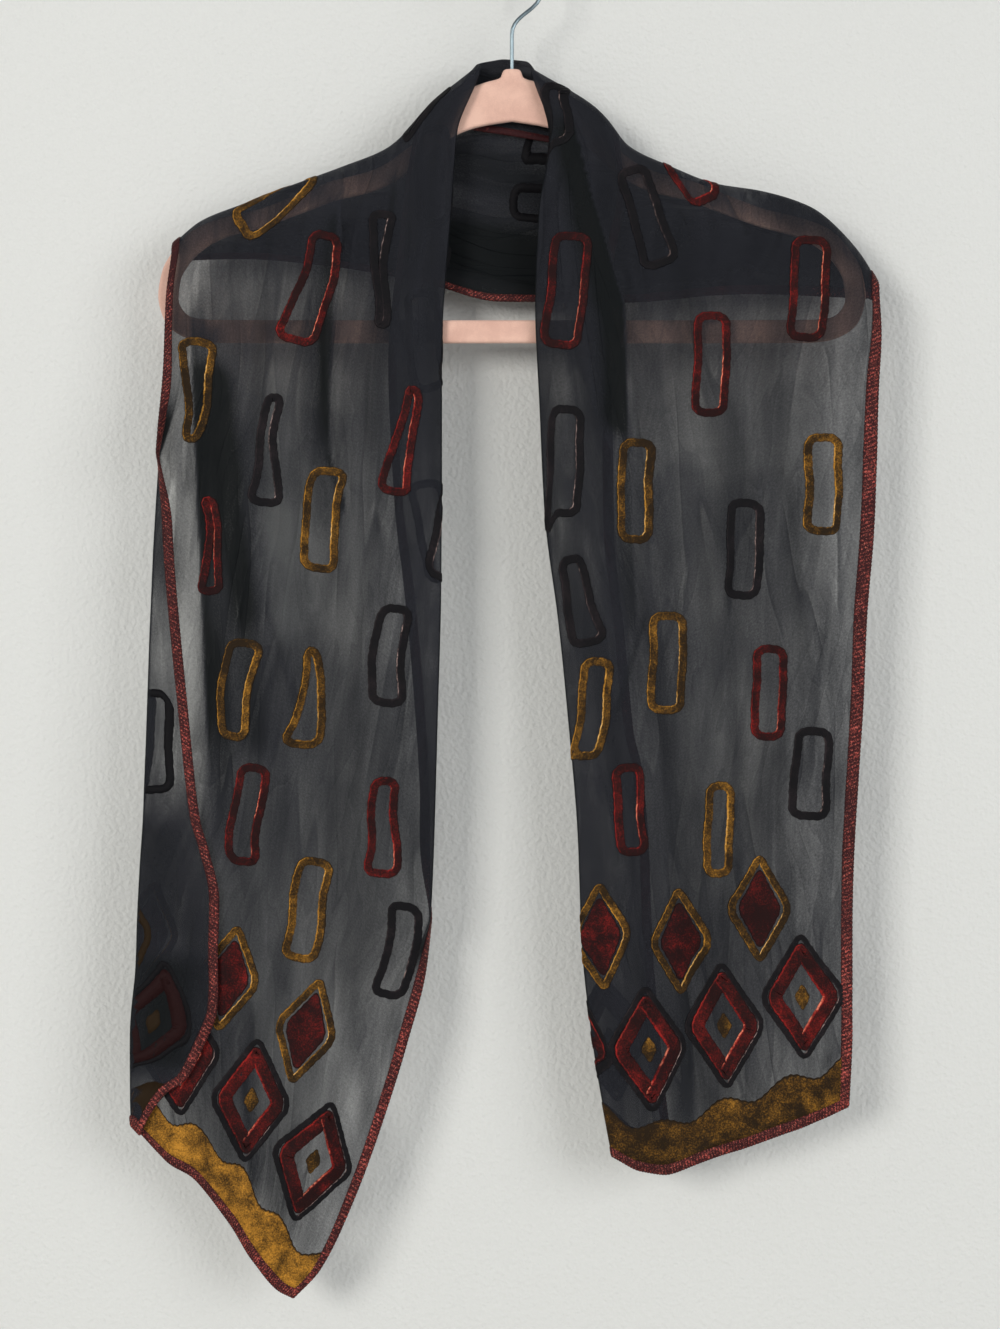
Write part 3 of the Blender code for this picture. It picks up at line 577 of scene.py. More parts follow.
def shoulder(side, across):
    """The point on the shoulder line of a side, carried on straight past its two ends."""
    ends = {"left": LEFT_END, "right": RIGHT_END}[side]
    held = np.clip(across, 0.0, 1.0)
    past = across - held
    x = read(SHOULDER, "across", side + "_x", held)
    z = read(SHOULDER, "across", side + "_z", held)
    x = x + past * (ends["inner_x"][0] - ends["outer_x"][0])
    z = z + past * (ends["inner_z"][0] - ends["outer_z"][0])
    return x, z


def straight(table, key, at, across):
    """The point on the straight row between the outer and the inner side of a table."""
    x = blend(read(table, key, "outer_x", at), read(table, key, "inner_x", at), across)
    z = blend(read(table, key, "outer_z", at), read(table, key, "inner_z", at), across)
    return x, z


def front_point(side, down, across, lift):
    """A point of an end that hangs in front, lifted from the main layer towards the viewer."""
    ends = {"left": LEFT_END, "right": RIGHT_END}[side]
    folds = {"left": LEFT_FOLDS, "right": RIGHT_FOLDS}[side]
    x, z = straight(ends, "down", down, across)
    start_x, start_z = straight(ends, "down", np.zeros_like(down), across)
    over_x, over_z = shoulder(side, across)
    near = 1.0 - ease(down / SHOULDER_FADE)
    x = x + (over_x - start_x) * near
    z = z + (over_z - BEND_RADIUS - start_z) * near
    dip = read(HEM, "across", side, np.clip(across, 0.0, 1.0))
    z = z + dip * ease((down - 1.0 + HEM_FADE) / HEM_FADE)
    x, z = collar(side, across, x, z)
    fold = (fold_height(folds, x, z) + crumple(x, z)) * ease(down / FRONT_FOLD_FADE)
    room = blend(ROOM_AT_HANGER, ROOM_BELOW, ease((HANG_TOP - z) / ROOM_RUN))
    fold = np.maximum(fold, -room)
    y = -BEND_RADIUS - HANG_DEPTH * ease((HANG_TOP - z) / HANG_RUN) - fold - lift
    return np.stack([x, y, z], -1)


def bend_point(side, over, across, lift):
    """A point of the bend over a shoulder, a half circle; over runs from 0 in front to 1 behind."""
    x, z = shoulder(side, across)
    angle = over * math.pi
    radius = BEND_RADIUS + lift
    y = -radius * np.cos(angle)
    z = z - BEND_RADIUS + radius * np.sin(angle)
    x, z = collar(side, across, x, z)
    return np.stack([x, y, z], -1)


def back_point(along, across, lift):
    """A point behind the neck; lift is away from the hanger, towards +Y."""
    x, z = straight(BACK, "along", along, across)
    for side, near, end in (("left", along, 0.0), ("right", 1.0 - along, 1.0)):
        start_x, start_z = straight(BACK, "along", np.full_like(along, end), across)
        over_x, over_z = shoulder(side, across)
        fade = blend(BACK_SHOULDER_FADE, BACK_NECK_FADE, ease((across - 0.75) / 0.25))
        share = 1.0 - ease(near / fade)
        x = x + (over_x - start_x) * share
        z = z + (over_z - BEND_RADIUS - start_z) * share
    for side, near in (("left", along), ("right", 1.0 - along)):
        x, z = collar(side, across, x, z, 1.0 - ease(near / BACK_COLLAR_FADE))
    fold = fold_height(BACK_FOLDS, x, z) + crumple(z, x)
    fold = fold * between(along, 0.0, 1.0, BACK_FOLD_FADE)
    return np.stack([x, BEND_RADIUS + fold + lift, z], -1)


def scarf_point(place, across, lift):
    """The whole scarf's main layer, lifted away from the hanger's side of the cloth."""
    place, across, lift = np.broadcast_arrays(place, across, lift)
    pieces = (
        (place < 1.0, front_point("left", np.clip(1.0 - place, 0.0, 1.0), across, lift)),
        (place < 2.0, bend_point("left", np.clip(place - 1.0, 0.0, 1.0), across, lift)),
        (place < 3.0, back_point(np.clip(place - 2.0, 0.0, 1.0), across, lift)),
        (place < 4.0, bend_point("right", np.clip(4.0 - place, 0.0, 1.0), across, lift)),
        (place <= 5.0, front_point("right", np.clip(place - 4.0, 0.0, 1.0), across, lift)),
    )
    points = np.zeros(place.shape + (3,))
    free = np.ones(place.shape, bool)
    for inside, values in pieces:
        points[free & inside] = values[free & inside]
        free &= ~inside
    return points


def margin_reach(width, turn):
    """How far a margin reaches past the line where it begins to turn over."""
    arc = np.minimum(width, TURN_RADIUS * turn)
    angle = arc / TURN_RADIUS
    flat = TURN_RADIUS * np.sin(angle) + (width - arc) * np.cos(angle)
    return np.where(angle > math.pi / 2.0, TURN_RADIUS, flat)


def margin_step(distance, turn):
    """Where a point of a margin lies: how far out past the turn line, and how far off the layer."""
    arc = np.minimum(distance, TURN_RADIUS * turn)
    angle = arc / TURN_RADIUS
    out = TURN_RADIUS * np.sin(angle) + (distance - arc) * np.cos(turn)
    off = TURN_RADIUS * (1.0 - np.cos(angle)) + (distance - arc) * np.sin(turn)
    return out, off


def row_width(place):
    """The length of a row between the two outlines."""
    return np.linalg.norm(scarf_point(place, 1.0, 0.0) - scarf_point(place, 0.0, 0.0), axis=-1)


@functools.lru_cache(maxsize=1)
def drape():
    """The whole cloth on a grid: rows along it by place, columns from the outer edge over its turned
    margin, the main layer and the inner margin to the inner edge. Also each point's place."""
    front = np.linspace(0.0, 1.0, LEFT_ROWS + 1)[:-1]
    bend = np.linspace(0.0, 1.0, BEND_ROWS + 1)[:-1]
    back = np.linspace(0.0, 1.0, BACK_ROWS + 1)[:-1]
    end = np.linspace(0.0, 1.0, RIGHT_ROWS + 1)
    place = np.concatenate([front, 1.0 + bend, 2.0 + back, 3.0 + bend, 4.0 + end])[:, None]
    width = row_width(place)
    grids = {}
    edge = {}
    for kind, table in (("outer", OUTER_MARGIN), ("inner", INNER_MARGIN)):
        turn = np.radians(read(table, "place", "turn", place))
        whole = read(table, "place", "width", place)
        reach = margin_reach(whole, turn)
        edge[kind] = reach / width if kind == "outer" else 1.0 - reach / width
        arc = np.minimum(math.pi * TURN_RADIUS, TURN_LIMIT * whole)
        round_part = arc * np.linspace(0.0, 1.0, TURN_COLUMNS + 1)[None, 1:]
        flat_part = blend(arc, whole, np.linspace(0.0, 1.0, FLAT_COLUMNS + 1)[None, 1:])
        out, off = margin_step(np.concatenate([round_part, flat_part], 1), turn)
        if kind == "outer":
            grids[kind] = scarf_point(place, edge[kind] - out / width, off)[:, ::-1]
        else:
            grids[kind] = scarf_point(place, edge[kind] + out / width, -off)
    across = blend(edge["outer"], edge["inner"], np.linspace(0.0, 1.0, MAIN_COLUMNS + 1)[None, :])
    grids["main"] = scarf_point(place, across, 0.0)
    return np.concatenate([grids["outer"], grids["main"], grids["inner"]], 1), place[:, 0]


def outward(points):
    """The unit normals of a grid of points: the step along a row crossed with the step to the next."""
    right = np.gradient(points, axis=1)
    on = np.gradient(points, axis=0)
    normal = np.cross(right, on)
    return normal / np.linalg.norm(normal, axis=-1, keepdims=True)


def arc_share(points, axis):
    """How far along its line of the grid each point lies, from 0 to 1, by length."""
    step = np.linalg.norm(np.diff(points, axis=axis), axis=-1)
    run = np.cumsum(step, axis=axis)
    start = np.zeros_like(np.take(run, [0], axis=axis))
    run = np.concatenate([start, run], axis=axis)
    return run / np.take(run, [-1], axis=axis)


def relaid(values, at, wanted):
    """Each row of values, known at the growing numbers of the same row of at, read at wanted."""
    cell = np.stack([np.searchsorted(row, wanted, side="right") for row in at]) - 1
    cell = np.clip(cell, 0, at.shape[1] - 2)
    low = np.take_along_axis(at, cell, 1)
    high = np.take_along_axis(at, cell + 1, 1)
    share = ((wanted[None, :] - low) / (high - low))[..., None]
    first = np.take_along_axis(values, cell[..., None], 1)
    second = np.take_along_axis(values, cell[..., None] + 1, 1)
    return first + (second - first) * share


@functools.lru_cache(maxsize=1)
def flat_table():
    """Position and normal against the flat cloth: rows by the share of its length, columns by the
    share of its width, both by arc length on the drape."""
    points, _ = drape()
    both = np.concatenate([points, outward(points)], -1)
    columns = np.linspace(0.0, 1.0, TABLE_COLUMNS)
    rows = np.linspace(0.0, 1.0, TABLE_ROWS)
    across = relaid(both, arc_share(points, 1), columns)
    along = arc_share(across[..., :3], 0)
    return relaid(across.transpose(1, 0, 2), along.T, rows).transpose(1, 0, 2), along


def on_cloth(sizes, across, along, height):
    """Points of the drape for places on the flat cloth, in millimetres: read between the four
    nearest entries of the table, then moved out along the normal."""
    table, _ = flat_table()
    column = across / sizes.width * (TABLE_COLUMNS - 1)
    row = along / sizes.length * (TABLE_ROWS - 1)
    left = np.clip(np.floor(column).astype(int), 0, TABLE_COLUMNS - 2)
    low = np.clip(np.floor(row).astype(int), 0, TABLE_ROWS - 2)
    u = (column - left)[..., None]
    v = (row - low)[..., None]
    near = blend(table[low, left], table[low, left + 1], u)
    far = blend(table[low + 1, left], table[low + 1, left + 1], u)
    found = blend(near, far, v)
    normal = found[..., 3:] / np.linalg.norm(found[..., 3:], axis=-1, keepdims=True)
    return found[..., :3] + normal * np.asarray(height)[..., None]


def local_frame(sizes, across, along):
    """The two directions of a level square on the drape at a place of the flat cloth, the second of
    them along the scarf, and the matrix that turns steps in that square into steps on the flat
    cloth. It undoes the slope and stretch of the rows, so that a shape keeps its own angles."""
    step = 3.0
    around = np.array([[0.0, step], [0.0, -step], [step, 0.0], [-step, 0.0]])
    spots = on_cloth(sizes, across + around[:, 0], along + around[:, 1], np.zeros(4))
    on = (spots[0] - spots[1]) / (2.0 * step)
    over = (spots[2] - spots[3]) / (2.0 * step)
    length = np.linalg.norm(on)
    on_way = on / length
    over_way = over - np.dot(over, on_way) * on_way
    over_way = over_way / np.linalg.norm(over_way)
    wide = 1.0 / np.dot(over, over_way)
    matrix = np.array([[wide, 0.0], [-wide * np.dot(over, on_way) / length, 1.0 / length]])
    return over_way, on_way, matrix


def grid_faces(rows, columns, close_rows=False, close_columns=False, start=0):
    """The four corners of each cell of a grid, as a table of vertex numbers."""
    number = start + np.arange(rows * columns).reshape(rows, columns)
    if close_rows:
        number = np.concatenate([number, number[:1]], 0)
    if close_columns:
        number = np.concatenate([number, number[:, :1]], 1)
    return np.stack([number[:-1, :-1], number[:-1, 1:], number[1:, 1:], number[1:, :-1]],
                    -1).reshape(-1, 4)


def mend(mesh, merge=False, caps=(), outwards=False):
    """Merges doubled points, closes open ends with a face each, and turns the faces outwards."""
    work = bmesh.new()
    work.from_mesh(mesh)
    if merge:
        bmesh.ops.remove_doubles(work, verts=work.verts, dist=1e-6)
    work.verts.ensure_lookup_table()
    for cap in caps:
        work.faces.new([work.verts[number] for number in cap])
    if outwards:
        bmesh.ops.recalc_face_normals(work, faces=work.faces)
    work.to_mesh(mesh)
    work.free()


def make_mesh(name, points, faces, corner_uv=None, values=None):
    """A mesh object from arrays in millimetres, with an optional UV map and point attributes."""
    mesh = bpy.data.meshes.new(name)
    mesh.from_pydata((points.reshape(-1, 3) * MM).tolist(), [], faces.tolist())
    if corner_uv is not None:
        layer = mesh.uv_layers.new(name="flat_cloth")
        layer.data.foreach_set("uv", corner_uv[faces.reshape(-1)].reshape(-1).astype(np.float32))
    for key, numbers in (values or {}).items():
        layer = mesh.attributes.new(key, "FLOAT", "POINT")
        layer.data.foreach_set("value", numbers.reshape(-1).astype(np.float32))
    mesh.polygons.foreach_set("use_smooth", np.ones(len(mesh.polygons), bool))
    mesh.update()
    made = bpy.data.objects.new(name, mesh)
    bpy.context.scene.collection.objects.link(made)
    return made


def finish_piece(piece, look, nodes=()):
    """Gives a piece its material and its body, and hides the imported parts that it stands for."""
    piece.data.materials.clear()
    piece.data.materials.append(look)
    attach(piece, "root")
    if nodes:
        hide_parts(*nodes)


def rounded_box(half_wide, half_long, corner, count):
    """The outline of an oblong with round corners, evenly stepped: each point is the corner circle's
    centre plus its radius, with straight runs between the four quarter circles."""
    quarter = np.linspace(0.0, math.pi / 2.0, 24)
    parts = []
    for turn, (sx, sy) in enumerate(((1, 1), (-1, 1), (-1, -1), (1, -1))):
        angle = quarter + turn * math.pi / 2.0
        parts.append(np.stack([sx * (half_wide - corner) + corner * np.cos(angle),
                               sy * (half_long - corner) + corner * np.sin(angle)], -1))
    return evenly(np.concatenate(parts), count)


def evenly(outline, count):
    """The same closed outline with its points at equal steps round it."""
    closed = np.concatenate([outline, outline[:1]])
    run = np.concatenate([[0.0], np.cumsum(np.linalg.norm(np.diff(closed, axis=0), axis=1))])
    wanted = np.linspace(0.0, run[-1], count + 1)[:-1]
    return np.stack([np.interp(wanted, run, closed[:, 0]), np.interp(wanted, run, closed[:, 1])], -1)


def frayed(outline, seed):
    """An outline with the uneven edge of pile: short waves along its normals, by its own length."""
    run = np.arange(len(outline)) * np.linalg.norm(outline[1] - outline[0])
    jog = 0.15 * np.sin(run / 0.83 + seed) + 0.1 * np.sin(run / 1.9 + 2.3 * seed)
    jog = jog + 0.1 * np.sin(run / 5.1 + 4.1 * seed)
    return outline + inward(outline) * jog[:, None]


def inward(outline):
    """The unit normals of a closed outline that runs anticlockwise, pointing to its inside."""
    step = np.roll(outline, -1, 0) - np.roll(outline, 1, 0)
    normal = np.stack([-step[:, 1], step[:, 0]], -1)
    return normal / np.linalg.norm(normal, axis=1, keepdims=True)


def spun(points, angle):
    """Points of the plane turned by an angle, from the second axis towards the first."""
    return np.stack([points[..., 0] * math.cos(angle) + points[..., 1] * math.sin(angle),
                     -points[..., 0] * math.sin(angle) + points[..., 1] * math.cos(angle)], -1)


class Pile:
    """Gathers patches of pile of one colour, and makes them one mesh."""

    def __init__(self, sizes, thick):
        self.sizes = sizes
        self.thick = thick
        self.points = []
        self.flat = []
        self.faces = []
        self.rim = []
        self.count = 0

    def add(self, plane, height, rim, close_rows=True, close_columns=True):
        """A grid of places on the flat cloth, with their heights and how lit their rims are, as painted
        light: one half is plain, more is a painted highlight and less is painted shade. Its rows run
        anticlockwise round a ring or patch, and clockwise along an open strip."""
        rows, columns = plane.shape[:2]
        points = on_cloth(self.sizes, plane[..., 0], plane[..., 1], height)
        faces = grid_faces(rows, columns, close_rows, close_columns, self.count)
        self.points.append(points.reshape(-1, 3))
        self.flat.append(plane.reshape(-1, 2) / np.array([self.sizes.width, self.sizes.length]))
        self.rim.append(np.broadcast_to(rim, height.shape).reshape(-1))
        self.faces.append(faces[:, ::-1] if close_rows else faces)
        self.count += rows * columns

    def laid(self, plane, centre):
        """Steps in the level square at a place, as places on the flat cloth: first by the square's
        matrix, then moved until each point lies straight over its own step. Where the cloth turns
        over, so that no place does, the first answer stays."""
        over_way, on_way, matrix = local_frame(self.sizes, *centre)
        ways = np.stack([over_way, on_way])
        first = plane @ matrix.T + np.array(centre)
        middle = on_cloth(self.sizes, *centre, 0.0)
        found = first
        for _ in range(LAY_ROUNDS):
            here = on_cloth(self.sizes, found[..., 0], found[..., 1], np.zeros(found.shape[:-1]))
            error = plane - (here - middle) @ ways.T
            found = found + error @ matrix.T
        return found if np.abs(error).max() < LAY_MISS else first

    def band(self, outline, wide, centre):
        """A band of even width inside a closed outline."""
        profile = np.array(BAND_PROFILE)
        outline = frayed(outline, centre[0] + centre[1])
        plane = outline[:, None] + inward(outline)[:, None] * (wide * profile[:, 0])[None, :, None]
        height = np.broadcast_to(self.thick * profile[:, 1], plane.shape[:2])
        # The rim holds painted light; it is 0 under the pile, where it lies on the cloth
        rim = self.glints(outline, profile[:, 0], centre) * (profile[:, 1] > 0.0)
        self.add(self.laid(plane, centre), height, rim)

    def glints(self, outline, share, centre):
        """How much painted light the rim gets: a painted highlight on the inner rim where that faces
        the light, less of one on the outer rim on the other side, and painted shade on the outer
        wall itself."""
        over_way, on_way, _ = local_frame(self.sizes, *centre)
        facing = inward(outline) @ np.stack([over_way, on_way])
        # lean here is how much the rim faces the light, for the painted highlight
        lean = (facing @ np.array(PAINTED_LIGHT_WAY))[:, None]
        inner = np.clip(lean, 0.0, 1.0) * ease((share - 0.8) / 0.11)
        outer = np.clip(-lean, 0.0, 1.0) * ease((share - 0.02) / 0.04) * ease((0.2 - share) / 0.1)
        return 0.5 + 0.5 * (inner + 0.8 * outer) - 0.5 * ease((0.07 - share) / 0.06)

    def patch(self, outline, centre):
        """A solid patch inside a closed outline, its rows drawn in towards the middle."""
        profile = np.array(PATCH_PROFILE)
        outline = frayed(outline, centre[0] + centre[1])
        plane = outline[:, None] * (1.0 - profile[:, 0])[None, :, None]
        height = np.broadcast_to(self.thick * profile[:, 1], plane.shape[:2])
        # Painted shade along the patch's outer wall
        rim = (0.5 - 0.5 * ease((0.04 - profile[:, 0]) / 0.03)) * (profile[:, 1] > 0.0)
        self.add(self.laid(plane, centre), height, rim, close_columns=False)

    def hem_band(self, far):
        """A strip along a hem, its inner edge a cosine wave with a fine fray, on the profile."""
        width, length = self.sizes.width, self.sizes.length
        depth, rise = np.array(HEM_BAND_PROFILE).T
        across = np.linspace(0.0, width, HEM_BAND_COLUMNS)
        wave = np.cos(across / width * 2.0 * HEM_BAND_WAVES * math.pi)
        edge = HEM_BAND_DEPTH + HEM_BAND_WAVE * wave + 0.3 * np.sin(across / 0.9)
        along = HEM_BAND_START + (edge[:, None] - HEM_BAND_START) * depth
        across = np.broadcast_to(across[:, None], along.shape)
        plane = np.stack([across, length - along if far else along], -1)
        bright_share = HEM_BAND_BRIGHT["right" if far else "left"]
        # Its brightness on each end, with painted shade along the waved edge
        rim = (bright_share - 0.5 * ease((depth - 0.96) / 0.04)) * (rise > 0.0)
        height = np.broadcast_to(self.thick * rise, along.shape)
        self.add(plane[::-1] if far else plane, height, rim, close_rows=False)

    def make(self, name):
        """One mesh of all that was added, with the doubled points of the patches' middles merged."""
        piece = make_mesh(name, np.concatenate(self.points), np.concatenate(self.faces),
                          np.concatenate(self.flat), {"rim": np.concatenate(self.rim)})
        mend(piece.data, merge=True)
        piece.data.update()
        return piece


def seen_rings(sizes):
    """The rings of the table on the flat cloth: the nearest entry to each ring's middle gives its
    place, and its lean in the hang becomes an angle from the scarf's length there."""
    table, _ = flat_table()
    rings = []
    half = TABLE_ROWS // 2
    for row in RINGS:
        ring = dict(zip(RING_COLUMNS, row))
        side = "left" if ring["x"] < 0.0 else "right"
        start = 0 if side == "left" else half
        part = table[start:start + half]
        away = (part[..., 0] - ring["x"]) ** 2 + (part[..., 2] - ring["z"]) ** 2
        away = np.where((part[..., 4] < 0.0) & (part[..., 1] < 0.0), away, np.inf)
        down, column = np.unravel_index(np.argmin(away), away.shape)
        ring["across"] = column / (TABLE_COLUMNS - 1) * sizes.width
        ring["along"] = (down + start) / (TABLE_ROWS - 1) * sizes.length
        over_way, on_way, _ = local_frame(sizes, ring["across"], ring["along"])
        lean = math.radians(ring["lean"])
        way = np.array([math.sin(lean), 0.0, math.cos(lean)])
        ring["turn"] = math.atan2(np.dot(way, over_way), np.dot(way, on_way))
        ring["sway"] = SEEN_SWAY[side]
        rings.append(ring)
    return rings


def crowded(across, along, rings, room, turned_room=0.0):
    """Whether a place lies in the ellipse that any ring keeps free, wider round a turned ring."""
    for ring in rings:
        wide = room[0] + turned_room * abs(math.sin(ring["turn"]))
        if ((across - ring["across"]) / wide) ** 2 + ((along - ring["along"]) / room[1]) ** 2 < 1.0:
            return True
    return False


def hidden_rings(sizes, motifs, known):
    """Rings for the rest of the cloth, in rows that step half a repeat from column to column, left
    out where they would crowd a ring that is there already, and moved along a little just behind
    the neck."""
    rings = []
    colours = ("red", "gold", "black")
    last = sizes.length - motifs.border - LAST_ROW_FREE * motifs.repeat
    rows = int((sizes.length - 2.0 * motifs.border) / motifs.repeat) + 1
    for column in range(motifs.columns):
        odd = column % 2
        across = (column + 0.5) / motifs.columns * sizes.width
        for row in range(rows):
            along = motifs.border + motifs.repeat * (FIRST_ROW + ROW_SHIFT * odd + row)
            if along > last or crowded(across, along, known + rings, RING_ROOM, TURNED_ROOM):
                continue
            from_middle = abs(along / sizes.length - 0.5)
            if from_middle < NECK_SHARE:
                along += NECK_SHIFTS["odd" if odd else "even"]
            folded = across < FOLDED_WIDTH and along < FOLDED_SHARE * sizes.length
            black = from_middle < BLACK_SHARE or folded
            colour = "black" if black else colours[(column + 2 * row) % 3]
            rings.append({"across": across, "along": along, "turn": COLUMN_TURN * (column - 2),
                          "colour": colour, **HIDDEN_RING})
    return rings


def ring_outline(ring):
    """A ring's outline: an oblong with round corners, narrower at its head by the taper and at its
    waist by the pinch, with a slight waver as cut by hand, then turned."""
    half_long = 0.5 * ring["length"]
    corner = min(RING_CORNER, CORNER_SHARE * ring["width"])
    outline = rounded_box(0.5 * ring["width"], half_long, corner, RING_POINTS)
    share = outline[:, 1] / half_long
    wide = 1.0 - ring["taper"] * share - ring["pinch"] * (1.0 - share**2)
    waver = ring["sway"] * np.sin(share * 2.6 + ring["along"])
    waver = waver + 0.3 * np.sin(share * 6.0 + ring["across"])
    outline = np.stack([outline[:, 0] * wide + waver, outline[:, 1]], -1)
    return spun(outline, ring["turn"])


def lozenge(half_wide, half_long, soft, count):
    """The outline of a diamond with rounded points: a rounded square, drawn out along one way."""
    square = rounded_box(1.0, 1.0, soft, count)
    standing = spun(square, math.pi / 4.0) / math.sqrt(2.0)
    return evenly(standing * np.array([half_wide, half_long]) * LOZENGE_SWELL, count)


def node_input(tree, socket, value):
    """Sets a socket to a number or colour, or links another socket to it."""
    if isinstance(value, bpy.types.NodeSocket):
        tree.links.new(value, socket)
    else:
        socket.default_value = value


def opaque(colour, shares=(1.0, 1.0, 1.0)):
    """A colour with its alpha, each part times its share."""
    return (*(part * share for part, share in zip(colour, shares)), 1.0)


class Tree:
    """A short way to write shader nodes: each call makes a node and gives back one of its outputs."""

    def __init__(self, tree):
        self.tree = tree

    def add(self, kind, inputs=None, output=0, **settings):
        """Any node, with its settings by name and its inputs by name or number."""
        node = self.tree.nodes.new(kind)
        for key, value in settings.items():
            setattr(node, key, value)
        for key, value in (inputs or {}).items():
            node_input(self.tree, node.inputs[key], value)
        return node.outputs[output]

    def math(self, operation, first, second=0.0, clamp=False):
        """A sum, difference, product or power of two numbers."""
        return self.add("ShaderNodeMath", {0: first, 1: second}, operation=operation, use_clamp=clamp)

    def mix(self, share, first, second):
        """A colour that lies this share of the way from the first to the second."""
        return self.add("ShaderNodeMix", {0: share, 6: first, 7: second}, output=2, data_type="RGBA")

    def spread(self, value, low, high, to_low=0.0, to_high=1.0):
        """A value between low and high, spread over another range and kept inside it."""
        return self.add("ShaderNodeMapRange", {0: value, 1: low, 2: high, 3: to_low, 4: to_high})

    def noise(self, where, scale, detail=2.0, rough=0.5, twist=0.0):
        """Cloudy noise about one half."""
        inputs = {"Vector": where, "Scale": scale, "Detail": detail, "Roughness": rough,
                  "Distortion": twist}
        return self.add("ShaderNodeTexNoise", inputs)

    def place(self):
        """The place on the object, in metres."""
        return self.add("ShaderNodeTexCoord", output=3)

    def stretch(self, where, scale):
        """A place with each part times its scale."""
        return self.add("ShaderNodeMapping", {"Vector": where, "Scale": scale})

    def paced(self, where, reach, angle, away=0.0):
        """A plane turned by an angle and moved, then measured in steps of the two reaches."""
        inputs = {"Vector": where, "Location": (away, away, 0.0), "Rotation": (0.0, 0.0, angle),
                  "Scale": (*reach, 1.0)}
        return self.add("ShaderNodeMapping", inputs, vector_type="TEXTURE")

    def ramp(self, value, stops):
        """A smooth grey curve through the stops: pairs of a value and its grey."""
        node = self.tree.nodes.new("ShaderNodeValToRGB")
        ramp = node.color_ramp
        ramp.interpolation = "EASE"
        while len(ramp.elements) < len(stops):
            ramp.elements.new(0.5)
        for element, (spot, grey) in zip(ramp.elements, stops):
            element.position = spot
            element.color = (grey, grey, grey, 1.0)
        node_input(self.tree, node.inputs[0], value)
        return node.outputs[0]

    def value(self, name):
        """A number that the mesh holds for each of its points."""
        return self.add("ShaderNodeAttribute", output=2, attribute_name=name)


def new_look(name):
    """A new material with an empty tree, its Principled shader and its output."""
    look = bpy.data.materials.new(name)
    look.use_nodes = True
    look.node_tree.nodes.clear()
    shader = look.node_tree.nodes.new("ShaderNodeBsdfPrincipled")
    out = look.node_tree.nodes.new("ShaderNodeOutputMaterial")
    look.node_tree.links.new(shader.outputs[0], out.inputs[0])
    return look, Tree(look.node_tree), shader


def fill(tree, shader, values):
    """Sets or links the named sockets of a shader."""
    for key, value in values.items():
        node_input(tree.tree, shader.inputs[key], value)


def group(name, inputs, outputs):
    """A shader node group with named sockets, and its two end nodes."""
    made = bpy.data.node_groups.new(name, "ShaderNodeTree")
    for key, (kind, value) in inputs.items():
        socket = made.interface.new_socket(key, in_out="INPUT", socket_type=kind)
        socket.default_value = value
    for key, kind in outputs.items():
        made.interface.new_socket(key, in_out="OUTPUT", socket_type=kind)
    return made, made.nodes.new("NodeGroupInput"), made.nodes.new("NodeGroupOutput")


@functools.lru_cache(maxsize=1)
def nap_group():
    """Nap: short fibres that lie this way and that. Slow noise picks between the deep and the lit
    colour, fine noise breaks it up, and the fine noise is also the height for a bump."""
    made, given, out = group(
        "nap",
        {
            "Deep": ("NodeSocketColor", (0.05, 0.01, 0.01, 1.0)),
            "Lit": ("NodeSocketColor", (0.4, 0.1, 0.08, 1.0)),
            "Patch Scale": ("NodeSocketFloat", 120.0),
            "Fibre Scale": ("NodeSocketFloat", 1500.0),
            "Lift": ("NodeSocketFloat", 0.0),
        },
        {"Colour": "NodeSocketColor", "Height": "NodeSocketFloat"},
    )
    tree = Tree(made)
    where = tree.place()
    slow = tree.noise(where, given.outputs["Patch Scale"], 5.0, 0.65, 0.3)
    fine = tree.noise(where, given.outputs["Fibre Scale"], 3.0, 0.75)
    share = tree.spread(slow, 0.3, 0.72, 0.08, 0.85)
    share = tree.math("ADD", share, tree.spread(fine, 0.3, 0.72, -0.34, 0.34))
    cloud = tree.spread(tree.noise(where, 11.0, 1.0), 0.35, 0.65, -0.12, 0.12)
    share = tree.math("ADD", share, cloud)
    share = tree.math("ADD", share, given.outputs["Lift"], True)
    share = tree.math("POWER", share, 2.0)
    colour = tree.mix(share, given.outputs["Deep"], given.outputs["Lit"])
    made.links.new(colour, out.inputs["Colour"])
    made.links.new(fine, out.inputs["Height"])
    return made


def nap(tree, deep, lit, patch_scale, fibre_scale, lift):
    """Places the nap group; gives back its colour and a normal from its height."""
    colour = tree.add("ShaderNodeGroup", {"Deep": opaque(deep), "Lit": opaque(lit),
                                          "Patch Scale": patch_scale, "Fibre Scale": fibre_scale,
                                          "Lift": lift}, node_tree=nap_group())
    height = colour.node.outputs["Height"]
    return colour, tree.add("ShaderNodeBump", {"Height": height, "Strength": 0.5, "Distance": 0.0006})


def dress(tree, shader, colour, normal, rough, level, sheen):
    """Sets a soft surface: its colour, normal, roughness and specular level, then the weight,
    roughness and tint of its sheen."""
    weight, sheen_rough, tint = sheen
    fill(tree, shader, {"Base Color": colour, "Normal": normal, "Roughness": rough,
                        "Specular IOR Level": level, "Sheen Weight": weight,
                        "Sheen Roughness": sheen_rough, "Sheen Tint": opaque(tint)})


